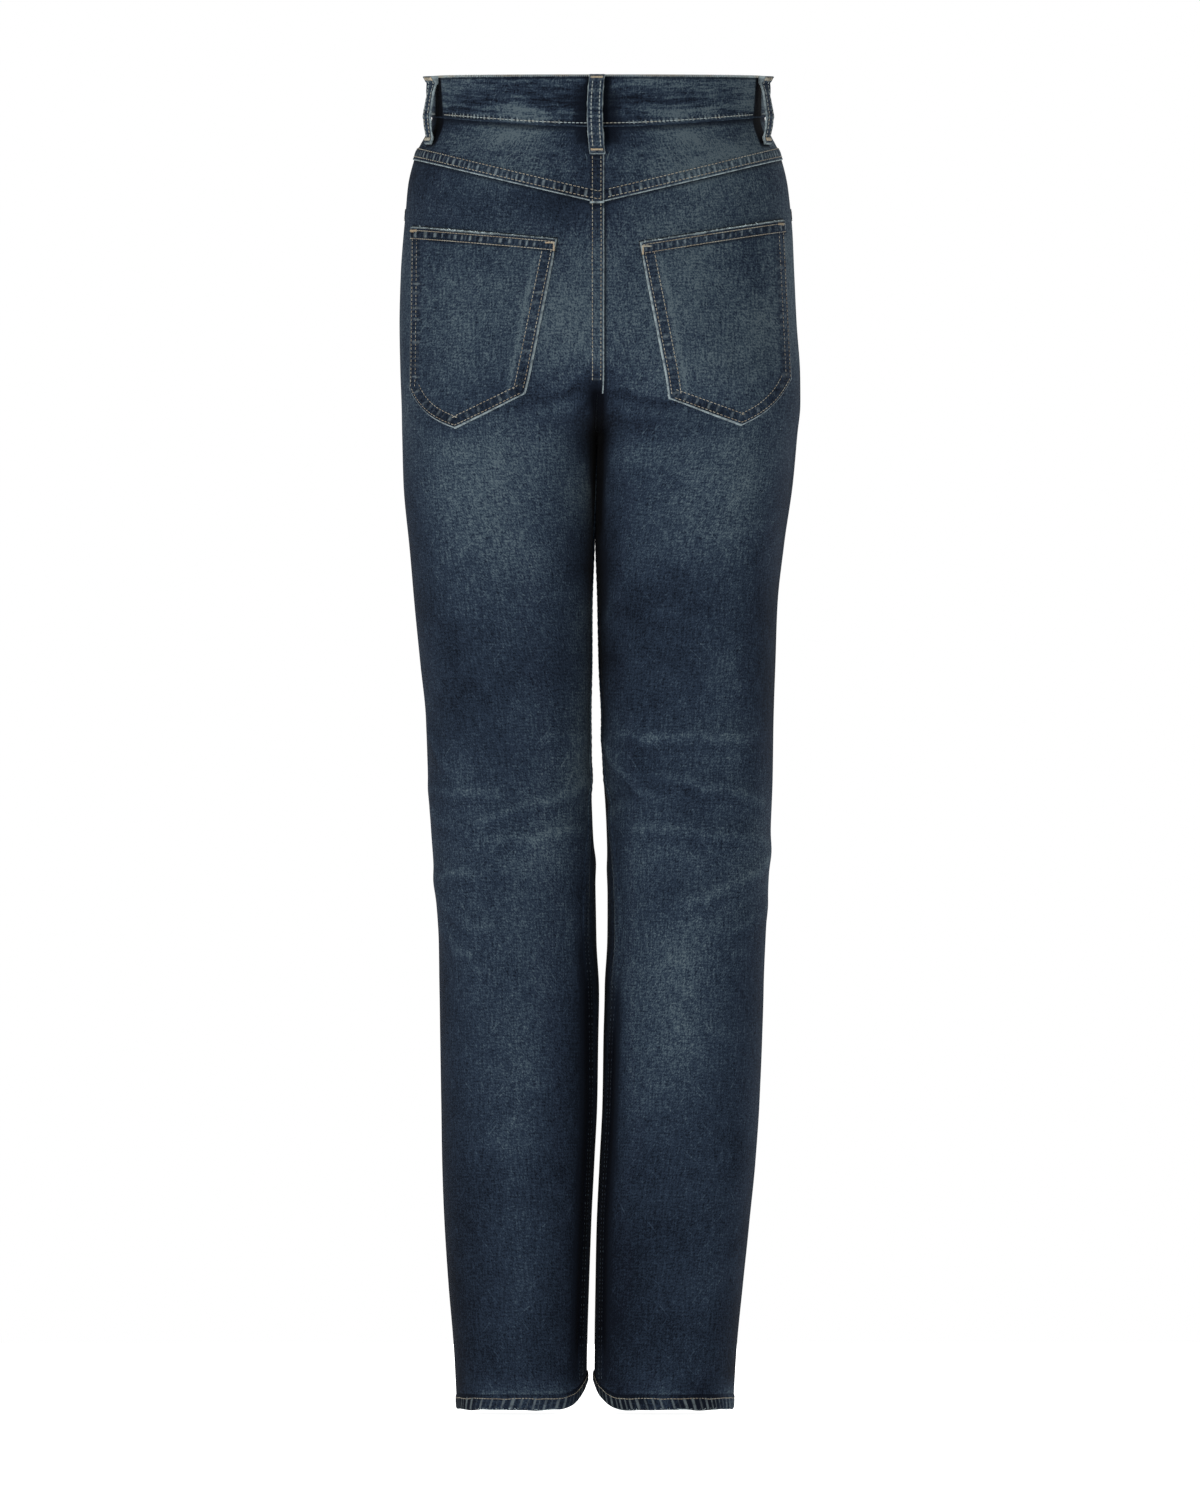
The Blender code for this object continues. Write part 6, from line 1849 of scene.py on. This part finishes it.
def hem_stitching():
    rows = []
    for _, side in SIDES:
        for face in (BACK, FRONT):
            def place(run, offset, out, side=side, face=face):
                level = OUTSEAM - HEM_HEIGHT + 0.0016 + 0.0005 * unsteady(run, 0.23, side)
                return on_cloth(side, face, hem_drop(side, face, level, run), run, out + 0.0 * offset)

            shares = np.linspace(0.0, 1.0, 300)
            rows.append(seam_row(place, shares, 0.0, 0.00100, HEM_THREAD_RADIUS, TIGHT_GAP))
    return rows


def all_tacks():
    """Bartacks on the belt loops, the back pockets' corners and the fly."""
    tacks = []
    half = 0.34 * LOOP_WIDTH
    for spot in loop_places():
        def place(run, offset, out, spot=spot):
            base, thick = loop_profile(spot, run, offset)
            return spot.place(run, offset, base + 0.92 * thick + out)

        for run in (spot.top + GAP + 0.0026, spot.foot + LOOP_TAIL - 0.0034):
            tacks.append(tack_row(place, run, -half, half, 0.0002, 0.0030 if spot.twist else 0.0018))
    for _, side in SIDES:
        shape = POCKETS[side]
        for corner, inwards in ((shape.mouth_outer, -1), (shape.mouth_inner, 1)):
            def corner_place(run, offset, out, side=side, corner=corner):
                return across_cloth(BACK, corner.drop + run, side * (corner.across + offset), out)

            lift = PLY_GAP + POCKET_THICK + 0.0010
            if inwards < 0:
                tacks.append(tack_row(corner_place, 0.0034, -0.0010, -0.0056, lift, 0.0026))
                continue
            tacks.append(tack_row(corner_place, 0.0032, 0.0016, 0.0085, lift, 0.0016))
            tacks.append(tack_row(corner_place, 0.0022, 0.0030, 0.0095, lift, 0.0016, across_run=True))

    def fly_place(run, offset, out):
        return across_cloth(FRONT, run, offset, out)

    on_curve = FLY_WIDTH - 0.013, FLY_WIDTH - 0.006
    tacks.append(tack_row(fly_place, FLY_END - 0.001, 0.001, 0.009, 0.0011, 0.0020))
    tacks.append(tack_row(fly_place, FLY_STRAIGHT + 0.012, *on_curve, 0.0011, 0.0020))
    return tacks


def fray_segments():
    """Loose pale fibres on the pocket mouths and along the hems."""
    dice = np.random.default_rng(11)
    groups = []
    for _, side in SIDES:
        mouth = pocket_edges(side)["mouth"]
        for first, last, count in ((0.22, 0.62, 64), (0.02, 0.20, 14), (0.66, 0.98, 18)):
            t = dice.uniform(first, last, count) * (len(mouth) - 1)
            across = np.interp(t, np.arange(len(mouth)), mouth[:, 0])
            drop = np.interp(t, np.arange(len(mouth)), mouth[:, 1])
            start = across_cloth(BACK, drop + 0.0004, side * across, PLY_GAP + POCKET_THICK + 0.0006)
            away = np.stack([dice.normal(0, 0.0011, count), dice.normal(0.0004, 0.0004, count),
                             np.abs(dice.normal(0.0005, 0.0005, count))], -1)
            groups.append((start, start + away, np.tile([0.0, 1.0, 0.0], (count, 1)), MOUTH_FRAY_RADIUS))
        hems = ((BACK, 0.30, 0.75, 60), (BACK, 0.85, 1.0, 22), (FRONT, 0.2, 0.8, 40))
        for face, first, last, count in hems:
            share = dice.uniform(first, last, count)
            drop = hem_drop(side, face, OUTSEAM - dice.uniform(0.0, 0.0016, count), share)
            start = on_cloth(side, face, drop, share, 0.0008)
            normal = unit(on_cloth(side, face, drop, share, 0.0018) - start)
            away = np.stack([dice.normal(0, 0.0010, count), dice.normal(0, 0.0004, count),
                             dice.normal(0, 0.0004, count)], -1)
            groups.append((start, start + away + 0.0003 * normal, normal, HEM_FRAY_RADIUS))
    return groups


# ---- a record of a cut's width, length and area
Cut = namedtuple("Cut", "width length area")


# ---- properties and operators
class JeansSizes(bpy.types.PropertyGroup):
    """Sizes that change the sewing and the stage."""

    stitch_length: bpy.props.FloatProperty(
        name="Stitch length", description="Length of one stitch", default=0.0026, min=0.001, max=0.006,
        unit="LENGTH", subtype="DISTANCE", precision=5)
    stitch_gap: bpy.props.FloatProperty(
        name="Stitch gap", description="Space between two stitches", default=0.0007, min=0.0001, max=0.003,
        unit="LENGTH", subtype="DISTANCE", precision=5)
    thread_radius: bpy.props.FloatProperty(
        name="Thread radius", description="Radius of the seam thread", default=0.00034, min=0.0001, max=0.001,
        unit="LENGTH", subtype="DISTANCE", precision=5)
    floor_size: bpy.props.FloatProperty(
        name="Floor size", description="Side of the square floor", default=7.0, min=1.0, max=20.0,
        unit="LENGTH", subtype="DISTANCE")
    key_power: bpy.props.FloatProperty(
        name="Key light", description="Power of the main light", default=95.0, min=0.0, subtype="POWER")
    fill_power: bpy.props.FloatProperty(
        name="Fill light", description="Power of each soft light", default=40.0, min=0.0, subtype="POWER")
    surround: bpy.props.FloatProperty(
        name="Surround", description="Light from the white surround", default=0.36, min=0.0, max=1.0,
        subtype="FACTOR")


class JeansColours(bpy.types.PropertyGroup):
    """Colours of the dye, the wash, the thread and the metal, as seen on screen."""

    # Besides the unwashed cloth, deep dye is the colour that the painted shade darkens towards, before its
    # near black.
    dye_deep: bpy.props.FloatVectorProperty(
        name="Deep dye", description="Unwashed cloth, in seams and under edges",
        default=(0.050, 0.068, 0.100), size=3, min=0, max=1, subtype="COLOR_GAMMA")
    dye_dark: bpy.props.FloatVectorProperty(
        name="Dark dye", description="Cloth that the wash has hardly reached", default=(0.130, 0.168, 0.220),
        size=3, min=0, max=1, subtype="COLOR_GAMMA")
    dye_faded: bpy.props.FloatVectorProperty(
        name="Faded dye", description="Cloth that the wash has rubbed pale", default=(0.222, 0.270, 0.305),
        size=3, min=0, max=1, subtype="COLOR_GAMMA")
    dye_pale: bpy.props.FloatVectorProperty(
        name="Pale dye", description="The palest of the washed cloth", default=(0.285, 0.330, 0.355),
        size=3, min=0, max=1, subtype="COLOR_GAMMA")
    weft: bpy.props.FloatVectorProperty(
        name="Weft", description="Bare weft on rubbed edges", default=(0.560, 0.610, 0.620),
        size=3, min=0, max=1, subtype="COLOR_GAMMA")
    thread: bpy.props.FloatVectorProperty(
        name="Thread", description="Seam thread", default=(0.455, 0.420, 0.365),
        size=3, min=0, max=1, subtype="COLOR_GAMMA")
    thread_worn: bpy.props.FloatVectorProperty(
        name="Worn thread", description="Seam thread where it is washed out", default=(0.560, 0.550, 0.505),
        size=3, min=0, max=1, subtype="COLOR_GAMMA")
    tack: bpy.props.FloatVectorProperty(
        name="Bartack thread", description="Thread of the bartacks", default=(0.660, 0.585, 0.475),
        size=3, min=0, max=1, subtype="COLOR_GAMMA")
    tape: bpy.props.FloatVectorProperty(
        name="Zip tape", description="Woven tape of the zip", default=(0.120, 0.135, 0.180),
        size=3, min=0, max=1, subtype="COLOR_GAMMA")
    metal: bpy.props.FloatVectorProperty(
        name="Brass", description="Button and zip teeth", default=(0.600, 0.480, 0.320),
        size=3, min=0, max=1, subtype="COLOR_GAMMA")


class JEANS_OT_leg_panels(bpy.types.Operator):
    """Lays the four leg panels with their hems and felled inseams"""

    bl_idname = "jeans.leg_panels"
    bl_label = "Leg panels"

    def execute(self, context):
        for word, side in SIDES:
            back = leg_panel(f"back_{word}", side, BACK)
            front = leg_panel(f"front_{word}", side, FRONT)
            hem = hem_piece(f"hem_{word}", side)
            fell = inseam(f"inseam_{word}", side)
        return {"FINISHED"}


class JEANS_OT_yokes(bpy.types.Operator):
    """Lays the two halves of the back yoke"""

    bl_idname = "jeans.yokes"
    bl_label = "Back yoke"

    def execute(self, context):
        for word, side in SIDES:
            yoke_piece(f"yoke_{word}", side)
        return {"FINISHED"}


class JEANS_OT_waistband(bpy.types.Operator):
    """Lays the waistband"""

    bl_idname = "jeans.waistband"
    bl_label = "Waistband"

    def execute(self, context):
        waistband_piece("waistband")
        return {"FINISHED"}


class JEANS_OT_felled_seams(bpy.types.Operator):
    """Lays the raised fells of the centre back and the centre front"""

    bl_idname = "jeans.felled_seams"
    bl_label = "Felled seams"

    def execute(self, context):
        for item in (seat_seam("fell_seat"), front_seam("fell_front")):
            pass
        return {"FINISHED"}


class JEANS_OT_pockets(bpy.types.Operator):
    """Lays the back patch pockets and the facings of the front pockets"""

    bl_idname = "jeans.pockets"
    bl_label = "Pockets"

    def execute(self, context):
        for word, side in SIDES:
            back_pocket(f"pocket_back_{word}", side)
            pocket_facing(f"pocket_facing_{word}", side)
        return {"FINISHED"}


class JEANS_OT_belt_loops(bpy.types.Operator):
    """Sews on the five belt loops"""

    bl_idname = "jeans.belt_loops"
    bl_label = "Belt loops"

    def execute(self, context):
        for spot in loop_places():
            belt_loop(spot)
        return {"FINISHED"}


class JEANS_OT_fly(bpy.types.Operator):
    """Lays the fly's zip and shield, and sets the button"""

    bl_idname = "jeans.fly"
    bl_label = "Fly and button"

    def execute(self, context):
        colours = context.scene.jeans_colours
        depth = CLOTH + UNDER_GAP
        tape_material = plain_weave("zip_tape", colours.tape, tuple(c * 1.3 for c in colours.tape), 90.0)
        tape = flat_patch("zip", ZIP_WIDTH / 2, depth, ZIP_THICK, FLY_END - 0.012, [tape_material], "tape")
        teeth = zip_teeth("zip_teeth")
        cloth = [denim("denim_facing"), denim_back("denim_inside")]
        depth += ZIP_THICK + UNDER_GAP
        shield = flat_patch("fly_shield", SHIELD_WIDTH / 2, depth, CLOTH, FLY_END - 0.004, cloth, "denim")
        button_piece("button")
        return {"FINISHED"}


class JEANS_OT_stitching(bpy.types.Operator):
    """Sews every row of stitches"""

    bl_idname = "jeans.stitching"
    bl_label = "Stitching"

    def execute(self, context):
        colours = context.scene.jeans_colours
        tan = plain_weave("seam_thread", colours.thread, colours.thread_worn, 60.0)
        navy = plain_weave("seam_thread_navy", colours.dye_faded, colours.dye_dark, 60.0)
        pale = plain_weave("seam_thread_pale", colours.thread_worn, colours.weft, 60.0)
        groups = {
            "stitches_band": (band_stitching, pale), "stitches_yoke": (yoke_stitching, tan),
            "stitches_seat": (seat_stitching, tan), "stitches_inseams": (inseam_stitching, navy),
            "stitches_pockets": (pocket_stitching, tan), "stitches_loops": (loop_stitching, pale),
            "stitches_front": (front_stitching, tan), "stitches_hems": (hem_stitching, tan),
        }
        for name, (rows, material) in groups.items():
            thread_mesh(name, rows(), material)
        return {"FINISHED"}


class JEANS_OT_bartacks(bpy.types.Operator):
    """Sews the bartacks"""

    bl_idname = "jeans.bartacks"
    bl_label = "Bartacks"

    def execute(self, context):
        colours = context.scene.jeans_colours
        material = plain_weave("tack_thread", colours.tack, colours.thread_worn, 80.0)
        thread_mesh("bartacks", all_tacks(), material)
        return {"FINISHED"}


class JEANS_OT_fray(bpy.types.Operator):
    """Frays the pocket mouths and the hems"""

    bl_idname = "jeans.fray"
    bl_label = "Frayed edges"

    def execute(self, context):
        weft = context.scene.jeans_colours.weft
        pale = tuple(min(1.0, c * 1.35) for c in weft)
        thread_mesh("fray", fray_segments(), plain_weave("loose_weft", weft, pale, 120.0))
        return {"FINISHED"}


def area_light(name, place, power, width):
    """A square light that no ray from the camera meets."""
    light = bpy.data.lights.new(name, "AREA")
    light.energy = power
    light.shape = "RECTANGLE"
    light.size = light.size_y = width
    item = bpy.data.objects.new(name, light)
    item.location = place
    item.rotation_euler = (Vector(LIGHT_AIM) - Vector(place)).to_track_quat("-Z", "Y").to_euler()
    item.visible_camera = False
    bpy.context.scene.collection.objects.link(item)


class JEANS_OT_stage(bpy.types.Operator):
    """Sets the floor, the lights and the camera"""

    bl_idname = "jeans.stage"
    bl_label = "Stage"

    def execute(self, context):
        sizes = context.scene.jeans_sizes
        half = sizes.floor_size / 2
        level = TOP_EDGE - OUTSEAM - FLOOR_GAP
        mesh = bpy.data.meshes.new("floor")
        corners = ((-half, -half), (half, -half), (half, half), (-half, half))
        mesh.from_pydata([(x, y, level) for x, y in corners], [], [(0, 1, 2, 3)])
        floor = bpy.data.objects.new("floor", mesh)
        paint = NodeSheet("pale_floor")
        paint.plug(WHITE, paint.shader.inputs["Emission Color"])
        paint.plug(0.92, paint.shader.inputs["Emission Strength"])
        mesh.materials.append(paint.finish((0.94, 0.94, 0.94, 1.0), None, 0.9, specular=0.0))
        context.scene.collection.objects.link(floor)

        world = bpy.data.worlds.new("studio")
        world.use_nodes = True
        background = world.node_tree.nodes["Background"]
        background.inputs["Color"].default_value = WHITE
        seen = world.node_tree.nodes.new("ShaderNodeLightPath").outputs["Is Camera Ray"]
        strength = world.node_tree.nodes.new("ShaderNodeMath")
        strength.operation = "MULTIPLY_ADD"
        world.node_tree.links.new(seen, strength.inputs[0])
        strength.inputs[1].default_value = 1.0 - sizes.surround
        strength.inputs[2].default_value = sizes.surround
        world.node_tree.links.new(strength.outputs[0], background.inputs["Strength"])
        context.scene.world = world
        lights = (
            ("key", KEY_PLACE, sizes.key_power, KEY_WIDTH),
            ("fill", FILL_PLACE, sizes.fill_power, FILL_WIDTH),
        )
        for name, face in (("back", BACK), ("front", FRONT)):
            for kind, (x, y, z), power, width in lights:
                area_light(f"{kind}_{name}", (x * face, y * face, z), power, width)

        camera = bpy.data.cameras.new("camera")
        camera.sensor_fit = "AUTO"
        camera.sensor_width = SENSOR
        camera.lens = SENSOR * CAMERA_AWAY / (IMAGE_HEIGHT * PIXEL)
        camera.clip_end = 1000.0
        item = bpy.data.objects.new("camera", camera)
        x = (CENTRE_PIXEL - AIM_PIXEL[0]) * PIXEL
        z = TOP_EDGE - (AIM_PIXEL[1] - TOP_PIXEL) * PIXEL
        item.location = (x, CAMERA_AWAY + DEPTH_OF_EDGE, z)
        item.rotation_euler = (math.pi / 2, 0.0, math.pi)
        context.scene.collection.objects.link(item)
        context.scene.camera = item
        context.scene.view_settings.view_transform = "Standard"
        return {"FINISHED"}


OPERATORS = (
    JEANS_OT_leg_panels, JEANS_OT_yokes, JEANS_OT_waistband, JEANS_OT_felled_seams, JEANS_OT_pockets,
    JEANS_OT_belt_loops, JEANS_OT_fly, JEANS_OT_stitching, JEANS_OT_bartacks, JEANS_OT_fray, JEANS_OT_stage,
)


class JEANS_PT_panel(bpy.types.Panel):
    """Lists the jeans' pieces, sizes and colours"""

    bl_idname = "JEANS_PT_panel"
    bl_label = "Jeans"
    bl_space_type = "VIEW_3D"
    bl_region_type = "UI"
    bl_category = "Jeans"

    def draw(self, context):
        for operator in OPERATORS:
            self.layout.operator(operator.bl_idname)
        for group in (context.scene.jeans_sizes, context.scene.jeans_colours):
            for key in group.bl_rna.properties.keys():
                if key not in ("rna_type", "name"):
                    self.layout.prop(group, key)


CLASSES = (JeansSizes, JeansColours, *OPERATORS, JEANS_PT_panel)


def register():
    for item in CLASSES:
        bpy.utils.register_class(item)
    bpy.types.Scene.jeans_sizes = bpy.props.PointerProperty(type=JeansSizes)
    bpy.types.Scene.jeans_colours = bpy.props.PointerProperty(type=JeansColours)


def unregister():
    del bpy.types.Scene.jeans_colours
    del bpy.types.Scene.jeans_sizes
    for item in reversed(CLASSES):
        bpy.utils.unregister_class(item)


def main():
    register()
    for operator in OPERATORS:
        group, call = operator.bl_idname.split(".")
        getattr(getattr(bpy.ops, group), call)()


if __name__ == "__main__":
    main()
